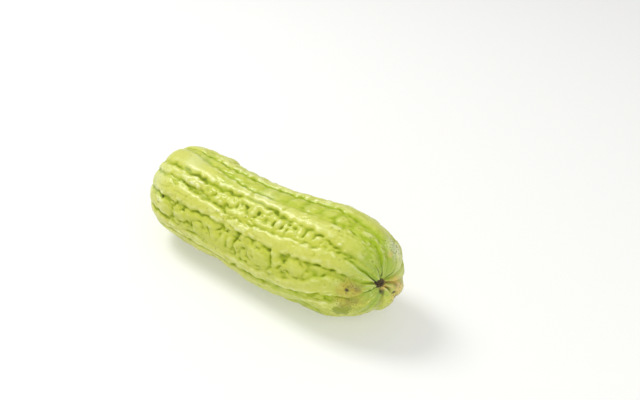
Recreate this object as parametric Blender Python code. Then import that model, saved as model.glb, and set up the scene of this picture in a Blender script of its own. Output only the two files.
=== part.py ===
"""Bitter melon: one pale, blunt, ridged and warted fruit lying on its side.

The fruit's axis runs along X, with the stem scar at +X and the blossom end at -X. Angles go round that axis:
0 is straight up, 90 faces -Y, 180 is the side it lies on. The tables are in millimetres and degrees, the mesh
in metres.
"""

import math
import random

import bmesh
import bpy
import numpy as np

NAME = "bitter_melon"
MM = 0.001

# Driving dimensions
LENGTH = 212.0
AXIS_HEIGHT = 35.1
SIDE_BOW = 7.2
STEM_LIFT = 3.0
LIFT_START = 45.0
CREST_RADIUS = ((-106, 38.5), (-80, 37.4), (-42, 35.7), (-5, 35.6), (32, 37.2), (64, 37.8), (85, 35.0),
                (106, 32.0))
TROUGH_DEPTH = ((-106, 2.0), (-92, 2.7), (-60, 3.3), (0, 3.7), (60, 3.6), (84, 3.0), (98, 2.6),
                (106, 2.2))
BLOSSOM_ROUNDING = 56.0
BLOSSOM_SQUARENESS = 3.4
STEM_ROUNDING = 66.0
STEM_SQUARENESS = 3.8
STEM_DIMPLE = (3.0, 10.0)
BLOSSOM_DIMPLE = (1.6, 7.0)
SCAR_RADIUS = 4.0
SCAR_RISE = 0.6
SCAR_TOP = 0.4
GROOVE_START = (0.6, 1.3)
GROOVE_RUN_OUT = 0.65
POLE_FADE = (1.5, 6.0)
TIP_RADIUS = 34.0
TIP_SIDE = 10.5
TIP_LIFT = 4.0
TIP_SHARPNESS = 1.5
LOBE_RADIUS = 36.0
SKIN_COLOUR = (0.50, 0.58, 0.12, 1.0)
SKIN_ROUGHNESS = 0.42

# How the ribs, lobes and folds are rounded
RIB_SHOULDER = 3.8
RIB_ROUNDNESS = 0.64
LOBE_SHOULDER = 2.1
LOBE_ROUNDNESS = 0.5
LOBE_SPREAD = 1.25
RIB_BLEND = 1.4
LOBE_BLEND = 0.35
EDGE_WANDER = 1.3
LENGTH_WANDER = 0.8
SKIN_SWELL = 0.30
RUFFLE = 0.3
FLOOR_SHARE = 0.42
FLOOR_WANDER = 0.08
NARROWEST_RIB = 1.0
WAVE_GAIN = 1.5

# Waves that make edges and swellings irregular: waves per fruit length, whole waves round it, start phase
EDGE_WAVES = ((8.7, 3, 20), (-14.1, 7, 105), (19.3, -5, 250), (24.7, 11, 330), (6.1, -12, 170))
SWELL_WAVES = ((4.3, 2, 60), (-7.9, 5, 200), (10.7, -3, 310), (2.9, -7, 140))
RUFFLE_WAVES = ((27.3, 9, 40), (-33.1, 14, 200), (38.7, -17, 310), (22.9, -21, 95), (8.3, 27, 150))

# Mesh fineness
RINGS = 190
SEGMENTS = 216
TARGET_TRIANGLES = 11600
FLAT_SNAP = 0.06
OUTLINE_POINTS = 4000
NORMAL_STEP = 0.004

# Ribs, from the top round through the facing side: rows of x, upper edge, lower edge, share of full height.
# A share over 1 is a rib that reaches past the crest outline, to the surface that the fruit lies on.
RIBS = {
    "shoulder": ((-106, -32, -9, 1), (-60, -30, -12, 1), (0, -29, -14, 1), (60, -31, -13, 1),
                 (84, -37, -10, 1), (98, -33, -9, 1), (104, -23, -4, 1), (106, -27, -3, 1)),
    "top": ((-106, -6, 26, 1), (-90, -5, 27, 1), (-60, 0, 26, 1), (-30, 5, 25, 1), (0, 10, 22, 0.97),
            (20, 9, 23, 1), (40, 9, 28, 1), (60, 9, 30, 1), (80, 8, 37, 1), (92, 8, 40.5, 1),
            (98, 9.5, 43, 1), (101, 13, 46, 1), (103, 17, 48, 1), (104.5, 24, 49, 1), (106, 40, 51, 1)),
    "top_branch": ((-106, 28, 42, 1), (-90, 29, 42, 0.95), (-70, 28, 41.5, 0.92), (-46, 28.5, 39.5, 0.9),
                   (-40, 31, 37, 0.4), (-37, 33, 35, 0)),
    "facing": ((-106, 43, 66, 1), (-90, 44, 67, 1), (-60, 44, 67, 1), (-30, 46, 64.5, 1),
               (-10, 48, 63.5, 0.96), (0, 49, 64.5, 0.96), (20, 47.5, 64.5, 1), (40, 44.5, 64.5, 1),
               (60, 42.5, 63.5, 1), (80, 42, 62, 1), (87, 44, 64, 1), (92, 45, 66.5, 1), (97, 47, 67, 1),
               (101, 51, 65, 1), (104, 54, 63, 1), (106, 57, 62, 0.9)),
    "facing_branch": ((-106, 68, 90, 1), (-88, 70, 90.5, 1), (-70, 71, 90, 0.85), (-64, 75, 88, 0.4),
                      (-61, 78, 86, 0)),
    "flank": ((-106, 92, 108.5, 1), (-60, 92.5, 108.5, 1), (0, 93, 109.5, 1), (28, 92, 107.5, 1),
              (45, 87, 104, 1), (62, 81.5, 100, 1), (76, 71, 96, 1), (86, 68.5, 97, 1), (93, 72, 95, 1),
              (98, 73, 94, 1), (102, 71, 88, 1), (106, 67, 82, 1)),
    "low_flank": ((-106, 110, 134, 1), (0, 111, 134, 1), (40, 107.5, 134, 1), (62, 102.5, 135, 1),
                  (80, 101, 138, 1), (92, 99, 140, 1), (98, 97, 138, 1), (102, 91, 132, 1),
                  (106, 84, 127, 1)),
    "near_rest": ((-106, 137, 169, 1), (-78, 149, 172, 1.25), (-50, 150, 172, 1.1), (0, 152, 172, 1),
                  (70, 151, 173, 1), (98, 146, 172, 1), (106, 132, 163, 1)),
    "far_rest": ((-106, 171, 205, 1), (-78, 187, 209, 1.25), (-50, 188, 209, 1.1), (0, 189, 208, 1),
                 (70, 187, 207, 1), (98, 178, 205, 1), (106, 169, 207, 1)),
    "low_back": ((-106, 208, 248, 1), (-80, 222, 244, 1), (0, 223, 242, 1), (70, 221, 243, 1),
                 (98, 212, 247, 1), (106, 214, 247, 1)),
    "back": ((-106, 251, 283, 1), (-80, 257, 278, 1), (0, 259, 277, 1), (70, 257, 279, 1),
             (98, 253, 281, 1), (106, 254, 274, 1)),
    "high_back": ((-106, 286, 326, 1), (-80, 292, 314, 1), (0, 291, 310, 1), (70, 290, 312, 1),
                  (98, 286, 322, 1), (104, 280, 332, 1), (106, 277, 326, 1)),
    "stem_sliver": ((74, 0, 3, 0), (84, -3, 6, 0.8), (98, -5, 6, 0.9), (103, -2, 11, 1), (104.5, 0, 18, 1),
                    (106, 1, 34, 1)),
}

# Lobes between the ribs: x, angle, half length, half width in degrees, slant in degrees, height
LOBES = (
    (-72, -8, 11, 4.0, 4, 2.0), (-52, -6, 10, 4.5, 6, 2.4), (-38, -6, 8, 6.0, 8, 2.7),
    (-24, -4, 9, 7.5, 10, 3.0), (-10, -1, 8, 10.0, 8, 3.5), (4, -1, 7, 9.5, 0, 3.3),
    (16, -2, 7, 10.0, 5, 3.5), (29, -1, 6.8, 10.0, -5, 3.5), (43, -1, 7.2, 10.5, 0, 3.6),
    (57, -2, 6.8, 9.5, 8, 3.4), (68, -1, 6.0, 9.0, 0, 3.2), (79, -1, 5.0, 6.0, 0, 2.3),
    (-39, 31.5, 4.4, 3.8, 0, 2.5), (-34.5, 34, 4.4, 5.4, 20, 2.7), (-24, 35.5, 7.0, 8.0, -10, 3.6),
    (-14, 33.5, 6.8, 7.2, 5, 3.2), (-8, 43, 6.4, 3.4, 0, 2.4), (-3, 38, 3.8, 4.4, 0, 2.3),
    (6, 32, 4.6, 8.4, -8, 3.4), (6, 42.5, 4.8, 3.4, 0, 2.5), (12.5, 27.5, 4.8, 3.6, 10, 3.0),
    (12.5, 39.5, 2.9, 3.4, 0, 2.6), (16.7, 37.5, 2.8, 4.0, 0, 2.8), (18, 31, 3.8, 5.4, 0, 2.8),
    (20, 42, 3.2, 3.4, 0, 2.5), (24.3, 33, 3.9, 7.4, 0, 2.7), (31, 36, 3.7, 7.4, 0, 3.7),
    (36.5, 36.5, 2.9, 5.6, 0, 2.6), (42, 40.5, 3.8, 6.2, -10, 3.3), (41, 33.5, 3.2, 3.4, 0, 2.5),
    (48.6, 36.5, 3.9, 6.2, 10, 2.9), (56.7, 36.5, 4.5, 6.4, -10, 3.0), (64, 35.5, 3.9, 5.2, 0, 3.0),
    (69.2, 37, 2.8, 4.6, 0, 2.4), (74.2, 38.5, 3.0, 3.8, 0, 2.3), (77.8, 40.5, 2.2, 2.6, 0, 1.9),
    (-55, 79.5, 7.0, 8.6, 0, 3.2), (-51, 90.5, 6.4, 3.4, 0, 2.1), (-46, 74, 5.6, 6.6, 10, 2.9),
    (-38, 71.5, 6.4, 4.4, 0, 2.5), (-36, 83, 6.6, 8.2, 10, 3.2), (-27.5, 85.5, 6.0, 6.6, 25, 2.9),
    (-25, 72, 8.4, 6.4, 8, 3.1), (-18, 82, 5.6, 6.8, -40, 3.0), (-10.5, 80.5, 9.0, 5.4, -70, 3.2),
    (-4, 78.5, 7.6, 4.8, -80, 3.3), (4, 79, 3.9, 6.4, 0, 2.6), (9, 72.5, 4.1, 5.4, 0, 2.9),
    (10, 85.5, 3.9, 5.4, 0, 2.4), (5, 88.5, 3.5, 3.8, 0, 2.0), (24, 77, 11.6, 11.6, 4, 3.7),
    (40.5, 76, 4.3, 8.6, -10, 3.0), (47.2, 76.5, 3.5, 5.4, 0, 2.5), (50, 84, 4.3, 3.8, 10, 2.3),
    (43, 86.5, 4.3, 3.6, 0, 2.0), (55.5, 72.5, 7.8, 10.0, 0, 3.8), (66, 74.5, 4.3, 4.8, 0, 2.4),
    (71, 66, 4.5, 3.6, 0, 2.1), (-84, 109, 9, 3.0, 0, 2.2), (-58, 109, 9, 3.4, 6, 2.7),
    (-40, 109, 7, 3.6, -6, 2.9), (-24, 109, 8, 3.6, 5, 2.8), (-8, 110, 7, 3.8, 0, 3.0),
    (6, 109, 7, 3.4, -8, 2.9), (20, 108, 6, 3.6, 0, 3.0), (33, 107, 7, 3.6, 6, 2.8),
    (48, 105, 7, 3.4, -4, 2.7), (62, 101, 5, 2.8, 0, 2.3), (44, 88, 8, 5.0, -10, 3.0),
    (56, 84, 7, 5.0, -8, 3.0), (-10, 92, 7, 5.0, 0, 2.8), (20, 91, 8, 4.0, -4, 2.8),
    (-30, 92, 8, 4.0, 5, 2.6), (-52, 92, 8, 4.0, 0, 2.6), (-5, 64, 6, 5.0, 10, 3.2),
    (10, 66, 5, 4.0, 0, 3.2), (22, 65, 5, 3.5, 0, 3.2), (38, 66, 3.2, 8.0, 0, 3.5),
    (-8, 45, 8, 4.0, 0, 3.0), (14, 44, 5, 4.0, 0, 3.1), (36, 43, 4, 4.0, 0, 3.0), (50, 42, 5, 3.0, 0, 2.9),
    (-5, 26, 6, 4.0, 10, 3.0), (8, 25.5, 5, 3.0, -5, 3.2), (18, 27, 4, 3.5, 0, 3.0),
    (42, 29, 4, 3.0, 0, 2.8), (48, 31, 3, 3.0, 0, 2.8), (70, 31, 5, 3.0, 8, 2.6), (-6, 46, 13, 6.0, 0, 3.0),
    (18, 45, 13, 6.0, 0, 3.1), (42, 42.5, 13, 5.5, -3, 3.1), (64, 40.5, 11, 4.5, -2, 2.9),
    (4, 25.5, 13, 4.5, 0, 3.0), (26, 9, 16, 4.5, 0, 2.9), (54, 8.5, 12, 4.5, 0, 2.9),
    (-66, 44, 16, 3.0, 0, 2.4), (-45, 91, 14, 5.0, 0, 2.8), (-16, 92, 14, 6.0, 0, 3.0),
    (12, 92, 14, 5.0, 0, 2.9), (36, 89, 12, 5.0, -6, 3.1),
)

# Pits and creases pressed into ribs and lobes: x, angle, half length, half width in degrees, slant, depth
PITS = (
    (-53, 40.5, 22, 2.6, 0, 0.25), (-47, 26, 16, 2.0, 0, 0.25), (80, 10, 5, 1.6, 10, 0.7),
    (90, 12.5, 3, 1.6, 35, 0.8), (-30.5, 35, 4.0, 1.2, 90, 0.8), (-17, 39.5, 4.0, 1.6, 10, 0.78),
    (-8.3, 35, 4.0, 1.4, 80, 0.94), (-12, 31, 2.6, 2.0, 40, 0.7), (-1, 32.5, 2.6, 2.4, 30, 1.33),
    (0, 36, 2.6, 1.2, 90, 0.78), (11, 34, 1.8, 2.4, 90, 1.17), (14.6, 34.5, 1.4, 1.6, 0, 0.7),
    (23.5, 26.5, 3.2, 1.8, 12, 1.09), (30.5, 29.5, 4.2, 1.1, 25, 0.7), (27, 37, 3.4, 1.2, -68, 1.09),
    (34.2, 38, 4.0, 1.1, 90, 0.86), (38.7, 41, 3.6, 1.2, 90, 0.94), (38, 31.5, 2.4, 1.4, -10, 0.78),
    (43, 33.5, 2.6, 1.0, 30, 0.7), (46.6, 40, 2.8, 1.0, 60, 0.7), (52.5, 36, 3.6, 1.9, -78, 0.86),
    (56, 42.5, 3.8, 1.0, 0, 0.8), (60.8, 34, 2.8, 1.3, 90, 0.94), (63.8, 31, 2.8, 1.2, 0, 0.78),
    (67.2, 39.5, 2.0, 1.1, 70, 0.7), (72, 34.5, 2.6, 1.2, 10, 0.7), (76, 37, 2.6, 1.1, 20, 0.7),
    (79.4, 40, 1.8, 1.1, -60, 0.7), (-78, 71, 3.2, 1.6, 0, 1.01), (-61, 76.5, 4.0, 1.4, 90, 0.5),
    (-53, 72, 2.8, 2.0, 15, 0.6), (-43, 81.5, 4.2, 1.4, 75, 0.78), (-35, 75, 2.6, 1.0, -10, 0.7),
    (-31, 79, 2.0, 1.3, 30, 0.7), (-26, 77.5, 2.6, 1.2, 60, 0.8), (-15.5, 71.5, 4.6, 1.1, -55, 0.78),
    (-8, 69.5, 3.2, 1.2, 5, 0.8), (1.8, 73, 3.2, 1.8, -60, 0.78), (5.5, 71.5, 1.4, 1.6, 90, 0.86),
    (2, 90.5, 2.0, 1.8, -60, 1.01), (13, 93, 2.6, 1.4, -25, 0.86), (8, 93.5, 1.8, 1.4, 30, 0.8),
    (14, 80.5, 3.0, 1.5, 90, 0.94), (18.5, 81.5, 3.0, 1.3, 0, 0.7), (35.4, 76.5, 6.6, 1.4, 88, 0.78),
    (33, 87, 2.8, 1.2, -50, 0.86), (24, 90, 6.2, 1.2, -10, 0.7), (32.5, 66, 3.2, 1.1, 5, 0.7),
    (42.8, 78.5, 3.8, 1.4, -65, 1.01), (45, 70, 1.8, 1.4, 0, 0.7), (48, 81.5, 2.6, 1.1, 30, 0.7),
    (49, 61.5, 3.2, 1.1, -10, 0.78), (55.5, 61, 3.4, 1.1, 10, 0.78), (60.5, 67.5, 3.8, 1.3, 55, 1.01),
    (65.5, 71.5, 3.0, 1.2, 5, 0.7), (62.5, 75.5, 2.4, 1.1, -60, 0.7), (50.5, 80.5, 2.4, 1.2, 40, 0.7),
    (58, 82.5, 3.6, 1.3, -5, 0.78), (70, 61, 3.2, 1.1, -8, 0.8), (76, 62, 3.6, 1.1, 12, 0.8),
    (82.5, 62, 3.4, 1.1, -20, 0.8), (89, 64, 3.2, 1.2, 18, 0.7), (76.5, 70.5, 1.8, 1.8, -60, 0.8),
    (57, 101, 6.2, 1.1, -4, 0.7), (74, 104, 4.0, 1.1, 0, 0.6), (80, 103.5, 2.8, 1.4, 0, 0.7),
    (87, 91, 3.2, 1.2, -25, 0.4), (91, 97, 7.0, 1.2, 0, 0.7), (-3, 15, 1.6, 6.5, -25, 0.78),
    (27, 17, 1.6, 6.0, 20, 0.7), (-66, 24, 6.0, 1.6, 0, 0.8), (-9, 54, 3.2, 3.0, 0, 0.5),
    (-14, 53, 5.0, 1.4, 70, 0.5), (92, 77, 1.8, 2.4, 0, 0.7), (76, 15, 5.0, 1.4, 30, 0.5),
    (48, 17, 5.0, 1.2, -20, 0.5), (-60, 55, 9.0, 1.2, 3, 0.45), (26, 53, 5.0, 1.4, 10, 0.4),
)

# Grooves that run from the stem scar: angle at the scar, angle and radius where the groove ends, half width,
# depth
STAR = (
    (66, 42, 37, 0.9, 1.4), (42, 29, 25, 0.8, 1.0), (34, 6, 26, 0.8, 1.1), (290, 338, 24, 1.0, 1.3),
    (252, 250, 18, 0.8, 1.0), (212, 196, 17, 1.1, 1.4), (179, 168, 15, 0.9, 1.1), (130, 130, 13, 0.8, 0.7),
    (76, 90, 27, 0.9, 1.0), (65, 70, 34, 0.9, 0.6),
)

# Broad swellings and flats of the body: x, angle, reach along it, reach round it in degrees, height
SWELLINGS = (
    (52, 321, 44, 45, 3.0), (-56, 320, 26, 40, 1.4), (104, 222, 26, 62, 3.4), (58, 128, 24, 28, -4.6),
    (12, 130, 20, 26, 1.2), (-28, 126, 18, 26, -2.4), (-66, 124, 34, 26, -2.2), (97, 158, 12, 30, -2.0),
)

# Bands between the ribs: first angle, last angle, first x, last x. Large lobes are drawn in the bands that
# face away, small ones fill every band.
FACING_BANDS = ((-12, 8, -84, 82), (28, 46, -42, 78), (66, 92, -62, 70))
HIDDEN_BANDS = ((134, 151, -84, 82), (172, 188, -84, 82), (208, 222, -84, 82), (243, 258, -84, 82),
                (278, 291, -84, 82), (311, 330, -84, 82))
LOBE_SEED = 41

# Ranges that the drawn lobes are taken from: half length, slant, height, and what is particular to each kind
LARGE_REACH = (3.6, 8.2)
LARGE_SLANT = (-16, 16)
LARGE_HEIGHT = (2.6, 3.6)
LARGE_WIDTH = (0.9, 1.1)
LARGE_SHIFT = (-0.15, 0.15)
LARGE_STEP = (0.72, 0.92)
PAIR_CHANCE = 0.35
PAIR_PLACE = 0.55
PAIR_WIDTH = 0.62
PAIR_SHIFT = (-1, 1)
PAIR_SLANT = (-14, 14)
PAIR_HEIGHT = (1.8, 2.7)
SMALL_REACH = (2.6, 4.4)
SMALL_WIDTH = (4.0, 6.8)
SMALL_SHIFT = (-2.5, 2.5)
SMALL_SLANT = (-45, 45)
SMALL_HEIGHT = (1.2, 2.3)
SMALL_SPACING = 5.6
SMALL_STEP = (0.75, 1.25)
SMALL_ROW = 8.0
START_SHIFT = 6.0


def clear_scene():
    """Remove every object of the scene that the script starts in."""
    for old in list(bpy.data.objects):
        bpy.data.objects.remove(old, do_unlink=True)


def along(rows, x, column=1):
    """Read a column of a table smoothly at the places x, by a cubic through its rows."""
    knots = np.array([row[0] for row in rows], float)
    values = np.array([row[column] for row in rows], float)
    slopes = np.gradient(values, knots)
    x = np.clip(x, knots[0], knots[-1])
    i = np.clip(np.searchsorted(knots, x, side="right") - 1, 0, len(knots) - 2)
    span = knots[i + 1] - knots[i]
    t = (x - knots[i]) / span
    ends = values[i] * (1 + 2 * t) * (1 - t) ** 2 + values[i + 1] * t ** 2 * (3 - 2 * t)
    return ends + span * (slopes[i] * t * (1 - t) ** 2 - slopes[i + 1] * t ** 2 * (1 - t))


def fade(value, low, high):
    """Rise smoothly from 0 at low to 1 at high."""
    t = np.clip((value - low) / (high - low), 0.0, 1.0)
    return t * t * (3 - 2 * t)


def smooth_max(a, b, blend):
    """The larger of two heights, with the crease between them rounded over the blend height."""
    near = np.clip(blend - np.abs(a - b), 0.0, None) / blend
    return np.maximum(a, b) + near * near * blend / 4


def turn_between(angle, centre):
    """Signed angle in degrees from centre to angle, by the short way round."""
    return (angle - centre + 180.0) % 360.0 - 180.0


def wander(x, angle, waves, start):
    """Wavy wandering over the skin, about -1 to 1: waves that cross at unlike slants, from a start phase."""
    total = 0.0
    for per_length, round_count, phase in waves:
        lengthwise = 360.0 * per_length * x / LENGTH
        total = total + np.sin(np.radians(lengthwise + round_count * angle + phase + start))
    return WAVE_GAIN * total / len(waves)


def crest_radius(x):
    """Radius to the rib crests at x, closing round at both ends."""
    from_blossom = np.clip(1 - (x + LENGTH / 2) / BLOSSOM_ROUNDING, 0, 1)
    from_stem = np.clip(1 - (LENGTH / 2 - x) / STEM_ROUNDING, 0, 1)
    blossom = (1 - from_blossom ** BLOSSOM_SQUARENESS) ** (1 / BLOSSOM_SQUARENESS)
    stem = (1 - from_stem ** STEM_SQUARENESS) ** (1 / STEM_SQUARENESS)
    return along(CREST_RADIUS, x) * blossom * stem


def meridian(shares):
    """Points (x, radius) and outward normals of the crest outline, at shares of its length."""
    turn = np.linspace(0, math.pi, OUTLINE_POINTS)
    x = -LENGTH / 2 * np.cos(turn)
    radius = crest_radius(x)
    stem_depth, stem_reach = STEM_DIMPLE
    blossom_depth, blossom_reach = BLOSSOM_DIMPLE
    pressed = x - stem_depth * (1 - fade(radius, 0, stem_reach)) * (x > 0)
    pressed = pressed + blossom_depth * (1 - fade(radius, 0, blossom_reach)) * (x < 0)
    pressed = pressed + SCAR_RISE * (1 - fade(radius, SCAR_TOP * SCAR_RADIUS, SCAR_RADIUS)) * (x > 0)
    run = np.concatenate([[0], np.cumsum(np.hypot(np.diff(pressed), np.diff(radius)))])
    place = shares * run[-1]
    px = np.interp(place, run, pressed)
    pr = np.interp(place, run, radius)
    step = NORMAL_STEP * run[-1]
    ahead = np.clip(place + step, 0, run[-1])
    behind = np.clip(place - step, 0, run[-1])
    dx = np.interp(ahead, run, pressed) - np.interp(behind, run, pressed)
    dr = np.interp(ahead, run, radius) - np.interp(behind, run, radius)
    size = np.hypot(dx, dr)
    return px, pr, -dr / size, dx / size


def drawn_lobes():
    """Draw rows of large lobes for the bands that face away, and small lobes that fill every band."""
    draw = random.Random(LOBE_SEED)
    lobes = []
    for first, last, start, end in HIDDEN_BANDS:
        middle = (first + last) / 2
        half = (last - first) / 2
        x = start + draw.uniform(0, START_SHIFT)
        while x < end:
            reach = draw.uniform(*LARGE_REACH)
            x += reach
            if draw.random() < PAIR_CHANCE:
                for side in (-1, 1):
                    place = x + draw.uniform(*PAIR_SHIFT)
                    slant = draw.uniform(*PAIR_SLANT)
                    height = draw.uniform(*PAIR_HEIGHT)
                    angle = middle + side * half * PAIR_PLACE
                    lobes.append((place, angle, reach, half * PAIR_WIDTH, slant, height))
            else:
                angle = middle + draw.uniform(*LARGE_SHIFT) * half
                half_width = half * draw.uniform(*LARGE_WIDTH)
                slant = draw.uniform(*LARGE_SLANT)
                height = draw.uniform(*LARGE_HEIGHT)
                lobes.append((x, angle, reach, half_width, slant, height))
            x += reach * draw.uniform(*LARGE_STEP)
    for first, last, start, end in FACING_BANDS + HIDDEN_BANDS:
        rows = max(round((last - first) / SMALL_ROW), 1)
        for row in range(rows):
            middle = first + (row + 0.5) * (last - first) / rows
            x = start + draw.uniform(0, SMALL_SPACING)
            while x < end:
                angle = middle + draw.uniform(*SMALL_SHIFT)
                half_length = draw.uniform(*SMALL_REACH)
                half_width = draw.uniform(*SMALL_WIDTH)
                slant = draw.uniform(*SMALL_SLANT)
                height = draw.uniform(*SMALL_HEIGHT)
                lobes.append((x, angle, half_length, half_width, slant, height))
                x += SMALL_SPACING * draw.uniform(*SMALL_STEP)
    return lobes


def dome(x, angle, row, degree_length, spread):
    """Height share of a rounded lobe or pit over the skin, 1 at its middle and 0 from its rim outwards."""
    place, centre, half_length, half_width, slant = row[:5]
    lengthwise = x - place
    across = turn_between(angle, centre) * degree_length
    tilt = math.radians(slant)
    half_width = half_width * math.radians(1) * LOBE_RADIUS
    u = np.abs(lengthwise * math.cos(tilt) + across * math.sin(tilt)) / (half_length * spread)
    v = np.abs(across * math.cos(tilt) - lengthwise * math.sin(tilt)) / (half_width * spread)
    return np.clip(1 - (u ** LOBE_SHOULDER + v ** LOBE_SHOULDER), 0, 1)


def star_groove(x, angle, radius, row):
    """Depth share of a groove that runs from the stem scar, 1 along its bottom."""
    first, last, reach, half_width, _ = row
    centre = first + (last - first) * np.clip((radius - SCAR_RADIUS) / (reach - SCAR_RADIUS), 0, 1)
    across = turn_between(angle, centre) * math.radians(1) * radius
    groove = np.clip(1 - (across / half_width) ** 2, 0, 1) * (1 - fade(radius, GROOVE_RUN_OUT * reach, reach))
    return groove * fade(radius, GROOVE_START[0] * SCAR_RADIUS, GROOVE_START[1] * SCAR_RADIUS) * (x > 0)


def rib_height(x, angle, rows):
    """Height share of a rib over the skin."""
    upper = along(rows, x, 1)
    lower = along(rows, x, 2)
    share = np.clip(along(rows, x, 3), 0, None)
    if rows[0][0] > -LENGTH / 2:
        share = share * (x > rows[0][0])
    if rows[-1][0] < LENGTH / 2:
        share = share * (x < rows[-1][0])
    half_width = np.maximum(lower - upper, NARROWEST_RIB) / 2
    across = np.abs(turn_between(angle, (upper + lower) / 2)) / half_width
    return share * np.clip(1 - across ** RIB_SHOULDER, 0, 1) ** RIB_ROUNDNESS


def relief(x, angle, radius):
    """Height of the skin over the crest outline, below zero under it, from ribs, lobes, pits and swelling."""
    depth = along(TROUGH_DEPTH, x)
    degree_length = radius * math.radians(1)
    ruffle = RUFFLE * wander(x, angle, RUFFLE_WAVES, 0)
    shifted_x = x + LENGTH_WANDER * wander(x, angle, EDGE_WAVES, 90) + ruffle
    ruffle = RUFFLE / (math.radians(1) * TIP_RADIUS) * wander(x, angle, RUFFLE_WAVES, 90)
    shifted = angle + EDGE_WANDER * wander(x, angle, EDGE_WAVES, 0) + ruffle
    height = depth * (FLOOR_SHARE + FLOOR_WANDER * wander(x, angle, EDGE_WAVES, 200))
    for rows in RIBS.values():
        height = smooth_max(height, depth * rib_height(shifted_x, shifted, rows), RIB_BLEND)
    for row in LOBES + tuple(drawn_lobes()):
        share = dome(shifted_x, shifted, row, degree_length, LOBE_SPREAD)
        lobe = np.minimum(row[5], depth) * share ** LOBE_ROUNDNESS
        height = smooth_max(height, lobe, LOBE_BLEND * row[5])
    for row in PITS:
        height = height - row[5] * fade(dome(shifted_x, shifted, row, degree_length, 1), 0, 1)
    for row in STAR:
        height = height - row[4] * star_groove(x, shifted, radius, row)
    for place, centre, reach, width, rise in SWELLINGS:
        away = np.hypot((x - place) / reach, turn_between(angle, centre) / width)
        height = height + rise * (1 - fade(away, 0, 1))
    height = height + SKIN_SWELL * wander(x, angle, SWELL_WAVES, 0)
    return (height - depth) * fade(radius, *POLE_FADE)


def shape_skin(mesh):
    """Move the vertices of a unit sphere, whose poles are on its Z axis, to the fruit's skin."""
    flat = np.empty(len(mesh.vertices) * 3, np.float32)
    mesh.vertices.foreach_get("co", flat)
    sphere = flat.reshape(-1, 3).astype(float)
    share = np.arccos(np.clip(-sphere[:, 2], -1, 1)) / math.pi
    angle = np.degrees(np.arctan2(sphere[:, 1], sphere[:, 0]))
    x, radius, normal_x, normal_r = meridian(share)
    height = relief(x, angle, radius)
    tip = np.clip(1 - radius / TIP_RADIUS, 0, 1) ** TIP_SHARPNESS * (x > 0)
    radius = np.maximum(radius + normal_r * height, 0)
    x = x + normal_x * height
    turn = np.radians(angle)
    side = -SIDE_BOW * (1 - (2 * x / LENGTH) ** 2) - TIP_SIDE * tip
    lift = AXIS_HEIGHT + STEM_LIFT * fade(x, LIFT_START, LENGTH / 2) + TIP_LIFT * tip
    skin = np.stack([x, side - radius * np.sin(turn), lift + radius * np.cos(turn)], axis=-1)
    mesh.vertices.foreach_set("co", (skin * MM).astype(np.float32).ravel())
    mesh.update()


def skin_material():
    """Waxy pale green skin."""
    material = bpy.data.materials.new("melon_skin")
    material.use_nodes = True
    shader = material.node_tree.nodes["Principled BSDF"]
    shader.inputs["Base Color"].default_value = SKIN_COLOUR
    shader.inputs["Roughness"].default_value = SKIN_ROUGHNESS
    shader.inputs["Metallic"].default_value = 0.0
    material.diffuse_color = SKIN_COLOUR
    return material


def settle(mesh):
    """Press the lowest skin flat on the surface under the fruit, and centre the fruit on its origin."""
    flat = np.empty(len(mesh.vertices) * 3, np.float32)
    mesh.vertices.foreach_get("co", flat)
    skin = flat.reshape(-1, 3).astype(float)
    skin[:, 2] = np.where(skin[:, 2] < FLAT_SNAP * MM, 0.0, skin[:, 2])
    middle = (skin.min(axis=0) + skin.max(axis=0)) / 2
    skin[:, :2] -= middle[:2]
    mesh.vertices.foreach_set("co", skin.astype(np.float32).ravel())
    mesh.update()


def make_melon(collection):
    """Shape the skin finely, thin it to the triangles that its form needs, and settle it."""
    bm = bmesh.new()
    bmesh.ops.create_uvsphere(bm, u_segments=SEGMENTS, v_segments=RINGS, radius=1.0)
    bmesh.ops.triangulate(bm, faces=bm.faces)
    fine = bpy.data.meshes.new(NAME + "_fine")
    bm.to_mesh(fine)
    bm.free()
    shape_skin(fine)
    melon = bpy.data.objects.new(NAME, fine)
    collection.objects.link(melon)
    thin = melon.modifiers.new("thin", "DECIMATE")
    thin.decimate_type = "COLLAPSE"
    thin.ratio = TARGET_TRIANGLES / len(fine.polygons)
    thin.use_collapse_triangulate = True
    bpy.context.view_layer.update()
    evaluated = melon.evaluated_get(bpy.context.evaluated_depsgraph_get())
    mesh = bpy.data.meshes.new_from_object(evaluated)
    melon.modifiers.remove(thin)
    melon.data = mesh
    bpy.data.meshes.remove(fine)
    mesh.name = NAME
    settle(mesh)
    bm = bmesh.new()
    bm.from_mesh(mesh)
    bmesh.ops.recalc_face_normals(bm, faces=bm.faces)
    bm.to_mesh(mesh)
    bm.free()
    mesh.shade_smooth()
    mesh.materials.append(skin_material())
    return melon


def main():
    """Build the fruit in a collection of its own."""
    clear_scene()
    collection = bpy.data.collections.new(NAME)
    bpy.context.scene.collection.children.link(collection)
    make_melon(collection)


main()
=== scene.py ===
"""Bitter melon: the waxy, ribbed and warted skin, the dry scars at its two ends, and a plain studio."""

import math
import random

import bpy
import numpy as np
from bpy.props import FloatProperty, FloatVectorProperty, IntProperty, PointerProperty
from mathutils import Matrix, Vector


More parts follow.
